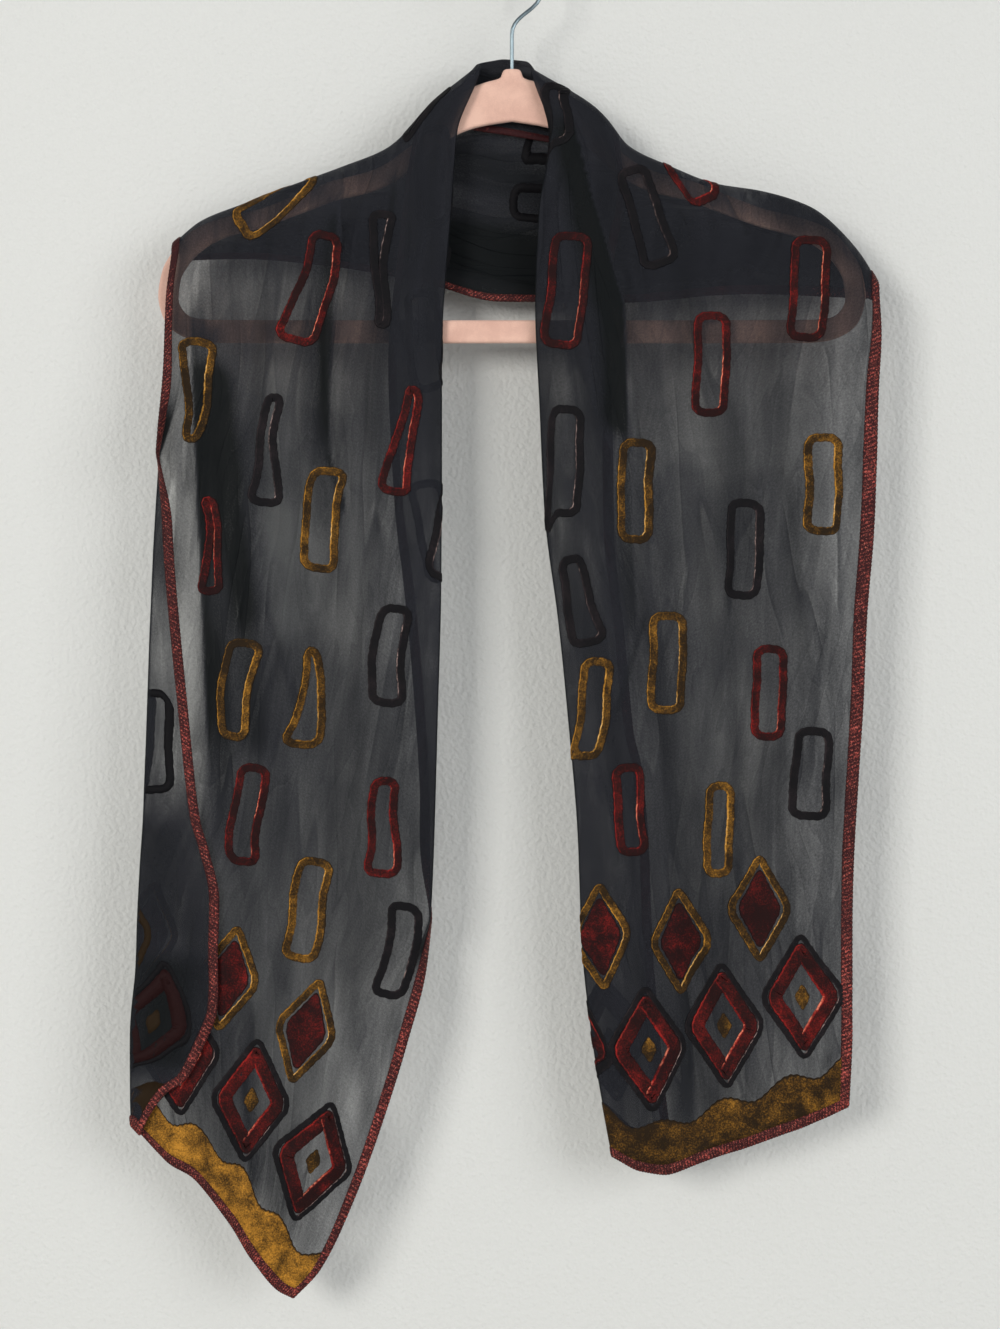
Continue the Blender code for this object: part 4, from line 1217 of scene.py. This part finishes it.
def pile_look(name, lit, deep, highlight_colour, sheen, tint):
    """Velvet pile: nap with a painted highlight in places on the inner wall that faces the light, and
    painted shade round the outer wall."""
    look, tree, shader = new_look(name)
    rim = tree.value("rim")
    # The rim's painted light: below one half it is painted shade, above it brighter
    lift = tree.add("ShaderNodeMapRange", {0: rim, 1: 0.0, 2: 0.5, 3: -0.9, 4: 0.0}, clamp=False)
    lift = tree.math("SUBTRACT", tree.math("MINIMUM", lift, 0.48), 0.2)
    colour, normal = nap(tree, deep, lit, 70.0, 950.0, lift)
    bright_share = tree.spread(tree.noise(tree.place(), 60.0, 2.0, 0.6), 0.43, 0.56)
    broken = tree.spread(tree.noise(tree.place(), 520.0, 2.0, 0.6), 0.36, 0.6)
    # Painted highlight on the lit rim, broken into patches
    edge = tree.math("MULTIPLY", tree.spread(rim, 0.84, 1.0), tree.math("MULTIPLY", bright_share, broken))
    colour = tree.mix(edge, colour, opaque(highlight_colour))
    dress(tree, shader, colour, normal, 0.62, 0.1, (sheen, 0.35, tint))
    return look


def cloth_look(sizes):
    """Sheer cloth: dark fine threads. How much it lets through is the clearness of one layer to the
    power of the closeness that the drape gives, times what its wrinkles add: broad soft waves along
    the cloth, sets of long and short slanting creases that are painted light on one side and painted
    shade on the other, faint streaks and the grain of the weave. Its colour has painted light too:
    lighter on the looser side of the broad waves and where the threads lie loosest, and painted shade
    where they lie closest."""
    look, tree, shader = new_look("sheer_cloth_fine")
    flat = tree.stretch(tree.add("ShaderNodeTexCoord", output=2), (sizes.width, sizes.length, 1.0))
    broad = tree.noise(tree.paced(flat, (26.0, 170.0), 0.08), 1.0, 3.0, 0.5, 0.5)
    streak = tree.noise(tree.paced(flat, (6.0, 120.0), 0.0), 1.0, 3.0, 0.6, 0.6)
    grain = tree.noise(tree.paced(flat, (1.3, 1.3), 0.0), 1.0, 2.0, 0.7)
    cloud = tree.noise(tree.place(), 22.0, 3.0, 0.55, 0.5)
    added = tree.math("ADD", tree.spread(broad, 0.3, 0.7, -0.26, 0.3),
                      tree.spread(streak, 0.3, 0.7, -0.1, 0.1))
    added = tree.math("ADD", added, tree.spread(grain, 0.3, 0.7, -0.2, 0.2))
    added = tree.math("ADD", added, tree.spread(cloud, 0.3, 0.7, -0.16, 0.16))
    relief = broad
    for reach, angle, away, strong in CREASES:
        spot = tree.paced(flat, reach, angle, away)
        crease = tree.ramp(tree.noise(spot, 1.0, 1.0, 0.4, 0.3), CREASE_STOPS)
        here = tree.noise(tree.paced(flat, (50.0, 90.0), 0.0, away + 300.0), 1.0, 1.0)
        part = tree.math("MULTIPLY", tree.spread(crease, 0.0, 1.0, -strong, strong),
                         tree.spread(here, 0.42, 0.6))
        added = tree.math("ADD", added, part)
        relief = tree.math("SUBTRACT", relief, part)
    dense = tree.value("closeness")
    close = tree.math("MULTIPLY", dense, tree.math("ADD", added, 1.0))
    alpha = tree.math("SUBTRACT", 1.0, tree.math("POWER", sizes.clear, close), True)
    # Painted light: lighter and more lilac on the looser side of the broad waves
    tint = tree.mix(tree.spread(broad, 0.65, 0.35), opaque(sizes.colour),
                    opaque(sizes.colour, (1.6, 1.55, 1.55)))
    # Painted shade in deep pleats and behind the neck, where the threads lie closest
    tint = tree.mix(tree.spread(dense, 1.4, 3.0), tint, (0.0022, 0.0032, 0.0036, 1.0))
    # Painted highlight on fold ridges, where the threads lie loosest
    tint = tree.mix(tree.spread(dense, 0.95, 0.5, 0.0, 0.5), tint, (0.028, 0.03, 0.036, 1.0))
    bump = tree.add("ShaderNodeBump", {"Height": relief, "Strength": 0.6, "Distance": 0.003})
    dress(tree, shader, tint, bump, 0.7, 0.12, (0.03, 0.5, (0.62, 0.66, 0.8)))
    fill(tree, shader, {"Alpha": alpha})
    return look


def binding_look(binding):
    """Velvet tape: nap with a gritty lift and painted light: lit on the crests between the stitches,
    with painted glints of single fibres there, and painted shade where the tape is dark."""
    look, tree, shader = new_look("binding_velvet")
    crest = tree.value("crest")
    grit = tree.spread(tree.noise(tree.place(), 1000.0, 1.0, 0.6), 0.36, 0.66, -0.34, 0.5)
    lift = tree.math("ADD", tree.spread(crest, 0.0, 1.0, -0.75, -0.04), grit)
    colour, normal = nap(tree, (0.03, 0.005, 0.006), binding.colour, 200.0, 1500.0, lift)
    # Painted glints, coral, on the lit crests
    glint = tree.spread(tree.noise(tree.place(), 1500.0, 1.0, 0.5), 0.6, 0.7, 0.0, 0.6)
    colour = tree.mix(tree.math("MULTIPLY", glint, crest), colour, (0.78, 0.24, 0.17, 1.0))
    dress(tree, shader, colour, normal, 0.6, 0.15, (0.12, 0.35, (1.0, 0.5, 0.4)))
    return look


def flock_look(colour):
    """Flock: short even nap, a little darker between its fibres, with a soft sheen."""
    look, tree, shader = new_look("flock")
    deep = opaque(colour, (0.8, 0.74, 0.74))[:3]
    colour, normal = nap(tree, deep, colour, 60.0, 2600.0, 0.35)
    dress(tree, shader, colour, normal, 0.95, 0.1, (0.35, 0.5, (1.0, 0.86, 0.8)))
    return look


def wire_look(colour):
    """Drawn steel wire: metal with fine streaks along it in its colour, gloss and relief."""
    look, tree, shader = new_look("drawn_wire")
    drawn = tree.noise(tree.stretch(tree.place(), (900.0, 900.0, 120.0)), 1.0, 3.0, 0.6)
    tint = tree.mix(tree.spread(drawn, 0.3, 0.7), opaque(colour, (0.7, 0.7, 0.7)), opaque(colour))
    bump = tree.add("ShaderNodeBump", {"Height": drawn, "Strength": 0.2, "Distance": 0.0002})
    fill(tree, shader, {"Base Color": tint, "Metallic": 1.0, "Normal": bump,
                        "Roughness": tree.spread(drawn, 0.3, 0.7, 0.28, 0.42)})
    return look


def wall_look(colour):
    """Rolled wall paint with a fine dapple, seen from its front alone."""
    look, tree, shader = new_look("painted_wall")
    where = tree.place()
    dapple = tree.noise(where, 330.0, 1.5, 0.5)
    broad = tree.noise(where, 2.2, 2.0, 0.5)
    tint = tree.mix(tree.spread(broad, 0.3, 0.7), opaque(colour, (0.97, 0.97, 0.97)), opaque(colour))
    bump = tree.add("ShaderNodeBump", {"Height": dapple, "Strength": 0.6, "Distance": 0.0016})
    fill(tree, shader, {"Base Color": tint, "Roughness": 0.75, "Normal": bump,
                        "Specular IOR Level": 0.3})
    behind = tree.add("ShaderNodeNewGeometry", output=6)
    clear = tree.add("ShaderNodeBsdfTransparent")
    mixed = tree.add("ShaderNodeMixShader", {0: behind, 1: shader.outputs[0], 2: clear})
    out = next(node for node in tree.tree.nodes if node.type == "OUTPUT_MATERIAL")
    tree.tree.links.new(mixed, out.inputs[0])
    return look


def floor_look():
    """A pale floor with soft specks."""
    look, tree, shader = new_look("pale_floor")
    speck = tree.noise(tree.place(), 40.0, 3.0, 0.5)
    tint = tree.mix(speck, (0.6, 0.6, 0.58, 1.0), (0.68, 0.68, 0.66, 1.0))
    fill(tree, shader, {"Base Color": tint, "Roughness": 0.6})
    return look


class ScarfCloth(bpy.types.PropertyGroup):
    """The cloth's cut and colour"""

    width: FloatProperty(name="Cut width", description="Width of the flat cloth, in millimetres",
                         default=275.0, min=200.0, max=350.0)
    length: FloatProperty(name="Cut length", description="Length of the flat cloth, in millimetres",
                          default=1530.0, min=1200.0, max=1800.0)
    clear: FloatProperty(name="Clearness", description="Share of light that one layer lets through",
                         default=0.255, min=0.05, max=0.95, subtype="FACTOR")
    colour: FloatVectorProperty(name="Cloth colour", description="Colour of the sheer cloth's threads",
                                default=(0.0098, 0.0106, 0.0138), subtype="COLOR", min=0.0, max=1.0)


class ScarfMotifs(bpy.types.PropertyGroup):
    """The pile and its pattern"""

    pile: FloatProperty(name="Pile height", description="Height of the pile, in millimetres",
                        default=0.65, min=0.2, max=2.0)
    band: FloatProperty(name="Band width", description="Width of a ring's band, in millimetres",
                        default=5.2, min=2.0, max=8.0)
    repeat: FloatProperty(name="Repeat", description="Step of the rings along the cloth, in millimetres",
                          default=118.0, min=80.0, max=200.0)
    columns: IntProperty(name="Columns", description="Rings side by side across the cloth",
                         default=5, min=2, max=8)
    lozenges: IntProperty(name="Lozenges", description="Lozenges side by side in each end's border",
                          default=4, min=2, max=7)
    border: FloatProperty(name="Border", description="Depth of each end's border, in millimetres",
                          default=205.0, min=100.0, max=260.0)
    red: FloatVectorProperty(name="Red pile", description="Lit colour of the red pile",
                             default=(0.3, 0.014, 0.011), subtype="COLOR", min=0.0, max=1.0)
    gold: FloatVectorProperty(name="Gold pile", description="Lit colour of the gold pile",
                              default=(0.5, 0.225, 0.026), subtype="COLOR", min=0.0, max=1.0)
    black: FloatVectorProperty(name="Black pile", description="Lit colour of the black pile",
                               default=(0.026, 0.018, 0.02), subtype="COLOR", min=0.0, max=1.0)


class ScarfBinding(bpy.types.PropertyGroup):
    """The tape along the edges"""

    thick: FloatProperty(name="Thickness", description="Thickness of the bound edge, in millimetres",
                         default=1.9, min=1.0, max=4.0)
    stitch: FloatProperty(name="Stitch", description="Length of one stitch, in millimetres",
                          default=2.6, min=1.5, max=6.0)
    colour: FloatVectorProperty(name="Binding colour", description="Lit colour of the velvet tape",
                                default=(0.5, 0.09, 0.07), subtype="COLOR", min=0.0, max=1.0)


class ScarfHanger(bpy.types.PropertyGroup):
    """The hanger's colours"""

    flock: FloatVectorProperty(name="Flock colour", description="Colour of the hanger's flock",
                               default=(0.82, 0.53, 0.42), subtype="COLOR", min=0.0, max=1.0)
    wire: FloatVectorProperty(name="Wire colour", description="Colour of the hook's wire",
                              default=(0.2, 0.25, 0.27), subtype="COLOR", min=0.0, max=1.0)


class ScarfStage(bpy.types.PropertyGroup):
    """The wall and how far off the camera stands"""

    distance: FloatProperty(name="Distance", description="Camera to the cloth", default=1.35,
                            min=0.5, max=5.0, unit="LENGTH")
    wall_gap: FloatProperty(name="Wall", description="How far the wall is behind the hanger",
                            default=0.034, min=0.02, max=0.5, unit="LENGTH")
    wall: FloatVectorProperty(name="Wall colour", description="Colour of the painted wall",
                              default=(0.7, 0.7, 0.67), subtype="COLOR", min=0.0, max=1.0)


def closeness(points, place):
    """How close the threads lie for light that comes through the hang. In front it is 1, and more
    where the slope of the folds makes the cloth steeper to the light, with the table of shades, which
    holds painted shade and painted light as well, and slow crumples added. Over the bends it is even,
    and behind the neck it ripples."""
    x, z = points[..., 0], points[..., 2]
    steep = 1.0 / np.clip(np.abs(outward(points)[..., 1]), STEEPEST, 1.0) - 1.0
    bunch = BUNCH_SHARE * crumple(x + 30.0, z * 0.8)
    front = 1.0 - between(place, *OFF_FRONT)[:, None]
    close = 1.0 + front * (STEEP_SHARE * steep + fold_height(SHADES, x, z) + bunch)
    close = blend(close, BEND_CLOSENESS, between(place, *ON_BENDS)[:, None])
    gathered = BACK_CLOSENESS * (0.72 + 0.5 * ease((GATHERS_TOP - z) / GATHERS_FADE))
    gathered = gathered + 0.45 * np.sin(z / 8.0 + np.sin(x / 33.0) * 1.5)
    close = blend(close, gathered, between(place, *ON_BACK)[:, None])
    return np.clip(close, LEAST_CLOSENESS, MOST_CLOSENESS)


class SCARF_OT_cloth(bpy.types.Operator):
    """Lays the sheer cloth over the hanger as one sheet, its turned margins included"""

    bl_idname = "scarf.cloth"
    bl_label = "Sheer cloth"

    def execute(self, context):
        sizes = context.scene.scarf_cloth
        points, place = drape()
        rows, columns = points.shape[:2]
        across = arc_share(points, 1)
        _, along = flat_table()
        wanted = np.linspace(0.0, 1.0, TABLE_COLUMNS)
        share = np.stack([np.interp(across[row], wanted, along[row]) for row in range(rows)])
        uv = np.stack([across, share], -1).reshape(-1, 2)
        values = {"closeness": closeness(points, place)}
        cloth = make_mesh("sheer_cloth", points, grid_faces(rows, columns), uv, values)
        finish_piece(cloth, cloth_look(sizes), CLOTH_NODES)
        return {"FINISHED"}


class SCARF_OT_motifs(bpy.types.Operator):
    """Raises the pile: oblong rings over the whole cloth, and a border of plain shapes at each end"""

    bl_idname = "scarf.motifs"
    bl_label = "Pile motifs"

    def add_lozenge(self, piles, parts, centre):
        """One lozenge, of one colour inside another."""
        for colour, half_wide, half_long, soft, count, band in parts:
            outline = lozenge(half_wide, half_long, soft, count)
            if band:
                piles[colour].band(outline, band, centre)
            else:
                piles[colour].patch(outline, centre)

    def border(self, sizes, motifs, piles, rings):
        """Each end: a hem band with a waved edge, a row of framed lozenges, and a row of smaller
        ones between them, left out where they would crowd a ring."""
        for far in (False, True):
            piles["gold"].hem_band(far)
            for count, start, row, parts in (
                (motifs.lozenges, 0.5, BIG_ROW, BIG_LOZENGE),
                (motifs.lozenges - 1, 1.0, SMALL_ROW, SMALL_LOZENGE),
            ):
                along = sizes.length - row if far else row
                for index in range(count):
                    share = (index + start) / motifs.lozenges
                    across = blend(BORDER_SIDE, sizes.width - BORDER_SIDE, share)
                    if row == BIG_ROW or not crowded(across, along, rings, LOZENGE_ROOM):
                        self.add_lozenge(piles, parts, np.array([across, along]))

    def execute(self, context):
        sizes = context.scene.scarf_cloth
        motifs = context.scene.scarf_motifs
        piles = {name: Pile(sizes, motifs.pile) for name in PILE_FINISH}
        seen = seen_rings(sizes)
        rings = seen + hidden_rings(sizes, motifs, seen)
        for ring in rings:
            centre = np.array([ring["across"], ring["along"]])
            piles[ring["colour"]].band(ring_outline(ring), motifs.band, centre)
        self.border(sizes, motifs, piles, rings)
        for colour, pile in piles.items():
            name = colour + "_pile"
            look = pile_look(name, getattr(motifs, colour), **PILE_FINISH[colour])
            finish_piece(pile.make(name), look)
        return {"FINISHED"}


def tape_width(name, share):
    """How wide the tape is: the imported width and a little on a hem, and on the long edges more where
    they hang, which on the outer edge grows smoothly towards the right end."""
    if name.startswith("hem"):
        return np.full_like(share, TAPE_WIDTH + HEM_TAPE_MORE)
    more = END_TAPE_MORE
    if name == "outer":
        more = blend(END_TAPE_MORE, OUTER_TAPE_MORE, ease(share - EDGE_BROADENS))
    away = np.abs(share - EDGE_MIDDLE)
    return TAPE_WIDTH + more * ease((away - EDGE_HANGING) / EDGE_FADE)


def crest_light(name, share, pucker, turn):
    """How lit the tape is, as painted light: on its two flat sides, most between the stitches. It has
    painted shade along the inner edge past the left end, and on the outer edge over the shoulders."""
    crest = (0.15 + 0.85 * pucker) * np.clip(np.abs(np.sin(turn)) * 1.3, 0.0, 1.0)
    if name == "inner":
        crest = crest * (1.0 - ease((share - INNER_LIT) / EDGE_FADE))
    elif name == "outer":
        crest = crest * (1.0 - 0.9 * between(np.abs(share - EDGE_MIDDLE), *OUTER_SHADED))
    return crest


def binding_mesh(name, sizes, binding, line, flip, length):
    """A bound edge: a flattened, slightly squared loop carried along the edge. Each stitch draws the
    tape in, so its thickness and its width swell and shrink once a stitch, a little unevenly. Gives
    the points, the faces, the corners of the two end faces, and how lit each point is."""
    count = int(length / TAPE_STEP)
    run = np.linspace(0.0, length, count)[:, None]
    turn = np.linspace(0.0, 2.0 * math.pi, TAPE_CORNERS + 1)[None, :-1]
    uneven = 0.6 * np.sin(run / 17.0) + 0.4 * np.sin(run / 7.3 + 1.0)
    pucker = 0.5 + 0.5 * np.cos(2.0 * math.pi * run / binding.stitch + uneven)
    tape = tape_width(name, run / length)
    wide = 0.5 * (tape + TAPE_PROUD) * (0.95 + 0.08 * pucker)
    thick = 0.5 * binding.thick * (0.8 + 0.28 * pucker)
    squared = np.sign(np.cos(turn)) * np.abs(np.cos(turn)) ** 0.7
    height = thick * np.sign(np.sin(turn)) * np.abs(np.sin(turn)) ** 0.8
    lean = 0.25 * np.sin(run / 2.1)
    inside = 0.5 * (tape - TAPE_PROUD) + wide * squared
    across, along = line(run + lean * squared, inside)
    points = on_cloth(sizes, across, along, height)
    faces = grid_faces(count, TAPE_CORNERS, False, True)
    corners = np.arange(TAPE_CORNERS)
    caps = [corners[::-1], corners + (count - 1) * TAPE_CORNERS]
    if flip:
        faces = faces[:, ::-1]
        caps = [cap[::-1] for cap in caps]
    return points, faces, caps, crest_light(name, run / length, pucker, turn)


class SCARF_OT_bindings(bpy.types.Operator):
    """Binds the four edges with puckered velvet tape"""

    bl_idname = "scarf.bindings"
    bl_label = "Edge bindings"

    def execute(self, context):
        sizes = context.scene.scarf_cloth
        binding = context.scene.scarf_binding
        look = binding_look(binding)
        edges = {
            "outer": (lambda run, inside: (inside, run), sizes.length, True),
            "inner": (lambda run, inside: (sizes.width - inside, run), sizes.length, False),
            "hem_left": (lambda run, inside: (run, inside), sizes.width, False),
            "hem_right": (lambda run, inside: (run, sizes.length - inside), sizes.width, True),
        }
        for key, (line, length, flip) in edges.items():
            points, faces, caps, crest = binding_mesh(key, sizes, binding, line, flip, length)
            piece = make_mesh(key + "_edge", points, faces, None, {"crest": crest})
            mend(piece.data, caps=caps, outwards=True)
            if key.startswith("hem"):
                nodes = ["hem_binding_" + key[4:]]
            else:
                nodes = [f"{key}_binding_{stretch}" for stretch in STRETCHES]
            finish_piece(piece, look, nodes)
        return {"FINISHED"}


class SCARF_OT_declare(bpy.types.Operator):
    """A last step that changes nothing in the scene"""

    bl_idname = "scarf.declare"
    bl_label = "State the cut"

    def execute(self, context):
        return {"FINISHED"}


def smooth_outline(table):
    """A half outline carried on in its mirror image, as a smooth closed curve: both coordinates read
    from cubic pieces over the length along the points."""
    x = np.array(table["x"])
    z = np.array(table["z"])
    run = np.concatenate([[0.0], np.cumsum(np.hypot(np.diff(x), np.diff(z)))])
    known = {"run": run, "x": x, "z": z}
    at = np.linspace(0.0, run[-1], OUTLINE_STEPS)
    half = np.stack([read(known, "run", "x", at), read(known, "run", "z", at)], -1)
    mirror = half[-2:0:-1] * np.array([-1.0, 1.0])
    return np.concatenate([half, mirror])


def spoke_outline(table, angles):
    """The points of an outline on spokes from the body's middle, by the nearest angles either side."""
    outline = smooth_outline(table) - np.array([0.0, BODY_MIDDLE])
    angle = np.arctan2(outline[:, 1], outline[:, 0])
    order = np.argsort(angle)
    reach = np.hypot(outline[:, 0], outline[:, 1])[order]
    radius = np.interp(angles, angle[order], reach, period=2.0 * math.pi)[:, None]
    return np.stack([np.cos(angles), np.sin(angles)], -1) * radius + np.array([0.0, BODY_MIDDLE])


def body_points():
    """The hanger's body: its outer edge and the edge of its opening on shared spokes, each carried
    through the thickness on the rounding, so that a row goes once round the section."""
    outline = evenly(smooth_outline(BODY_OUTLINE) - np.array([0.0, BODY_MIDDLE]), BODY_STEPS)
    angles = np.sort(np.arctan2(outline[:, 1], outline[:, 0]))
    rounding = np.array(EDGE_ROUND)
    rims = []
    for table, way in ((BODY_OUTLINE, 1), (OPENING_OUTLINE, -1)):
        edge = spoke_outline(table, angles)
        flat = edge[:, None] + way * inward(edge)[:, None] * rounding[::way, 0][None, :, None]
        through = np.broadcast_to(rounding[::way, 1], flat.shape[:2])
        rims.append(np.stack([flat[..., 0], through, flat[..., 1]], -1))
    return np.concatenate(rims, 1)


class SCARF_OT_hanger(bpy.types.Operator):
    """Builds the hanger's flocked body with rounded edges, and gives the hook its wire's finish"""

    bl_idname = "scarf.hanger"
    bl_label = "Hanger"

    def execute(self, context):
        hanger = context.scene.scarf_hanger
        wire = wire_look(hanger.wire)
        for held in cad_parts["hook"].material_slots:
            held.material = wire
        points = body_points()
        body = make_mesh("flocked_hanger", points, grid_faces(*points.shape[:2], True, True))
        mend(body.data, outwards=True)
        finish_piece(body, flock_look(hanger.flock), ("hanger_body",))
        return {"FINISHED"}


def add_light(scene, name, spot, size, power, colour):
    """A square area light, turned to face the middle of the view."""
    light = bpy.data.lights.new(name, "AREA")
    light.size = size * MM
    light.energy = power
    light.color = colour
    lamp = bpy.data.objects.new(name, light)
    lamp.location = [value * MM for value in spot]
    aim = np.array(VIEW_CENTRE) - np.array(spot)
    lamp.rotation_euler = (math.atan2(math.hypot(aim[0], aim[1]), -aim[2]), 0.0,
                           math.atan2(aim[1], aim[0]) - math.pi / 2.0)
    scene.collection.objects.link(lamp)


def add_camera(scene, distance):
    """The camera, level and square to the hang, its lens set to see the view's height."""
    camera = bpy.data.cameras.new("camera")
    camera.sensor_fit = "VERTICAL"
    camera.sensor_height = SENSOR
    camera.lens = SENSOR * distance / (VIEW_HEIGHT * MM)
    viewer = bpy.data.objects.new("camera", camera)
    viewer.location = (VIEW_CENTRE[0] * MM, CLOTH_FRONT * MM - distance, VIEW_CENTRE[2] * MM)
    viewer.rotation_euler = (math.pi / 2.0, 0.0, 0.0)
    scene.collection.objects.link(viewer)
    scene.camera = viewer


class SCARF_OT_stage(bpy.types.Operator):
    """Sets the wall, the floor, the lights and the camera"""

    bl_idname = "scarf.stage"
    bl_label = "Stage and camera"

    def execute(self, context):
        stage = context.scene.scarf_stage
        scene = context.scene
        scene.view_settings.view_transform = "Standard"
        gap = stage.wall_gap / MM
        reach = STAGE_REACH
        planes = {
            "wall": (((-reach, gap, FLOOR_Z), (reach, gap, FLOOR_Z), (reach, gap, WALL_TOP),
                      (-reach, gap, WALL_TOP)), wall_look(stage.wall)),
            "floor": (((-reach, -reach, FLOOR_Z), (reach, -reach, FLOOR_Z), (reach, gap, FLOOR_Z),
                       (-reach, gap, FLOOR_Z)), floor_look()),
        }
        for name, (corners, look) in planes.items():
            piece = make_mesh(name, np.array(corners), np.array([[0, 1, 2, 3]]))
            piece.data.materials.append(look)
        world = bpy.data.worlds.new("soft_room")
        world.use_nodes = True
        background = world.node_tree.nodes["Background"]
        background.inputs["Color"].default_value = ROOM_COLOUR
        background.inputs["Strength"].default_value = ROOM_STRENGTH
        scene.world = world
        for name, values in LIGHTS.items():
            add_light(scene, name, *values)
        add_camera(scene, stage.distance)
        return {"FINISHED"}


class SCARF_PT_panel(bpy.types.Panel):
    """Lists the sizes and the steps of the scarf"""

    bl_idname = "SCARF_PT_panel"
    bl_label = "Velvet scarf"
    bl_space_type = "VIEW_3D"
    bl_region_type = "UI"
    bl_category = "Scarf"

    def draw(self, context):
        for key, kind in SETTINGS.items():
            settings = getattr(context.scene, key)
            box = self.layout.box()
            for name in kind.__annotations__:
                box.prop(settings, name)
        for step in STEPS:
            self.layout.operator(step.bl_idname)


SETTINGS = {
    "scarf_cloth": ScarfCloth,
    "scarf_motifs": ScarfMotifs,
    "scarf_binding": ScarfBinding,
    "scarf_hanger": ScarfHanger,
    "scarf_stage": ScarfStage,
}
STEPS = (SCARF_OT_stage, SCARF_OT_hanger, SCARF_OT_cloth, SCARF_OT_motifs, SCARF_OT_bindings,
         SCARF_OT_declare)


def register():
    """Registers the classes and hangs the settings on the scene."""
    for made in (*SETTINGS.values(), *STEPS, SCARF_PT_panel):
        bpy.utils.register_class(made)
    for key, kind in SETTINGS.items():
        setattr(bpy.types.Scene, key, PointerProperty(type=kind))


def unregister():
    """Takes the settings and the classes away again."""
    for key in SETTINGS:
        delattr(bpy.types.Scene, key)
    for made in reversed((*SETTINGS.values(), *STEPS, SCARF_PT_panel)):
        bpy.utils.unregister_class(made)


def main():
    """Registers the parts of the add-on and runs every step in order."""
    register()
    bpy.ops.scarf.stage()
    bpy.ops.scarf.hanger()
    bpy.ops.scarf.cloth()
    bpy.ops.scarf.motifs()
    bpy.ops.scarf.bindings()
    bpy.ops.scarf.declare()


if __name__ == "__main__":
    main()
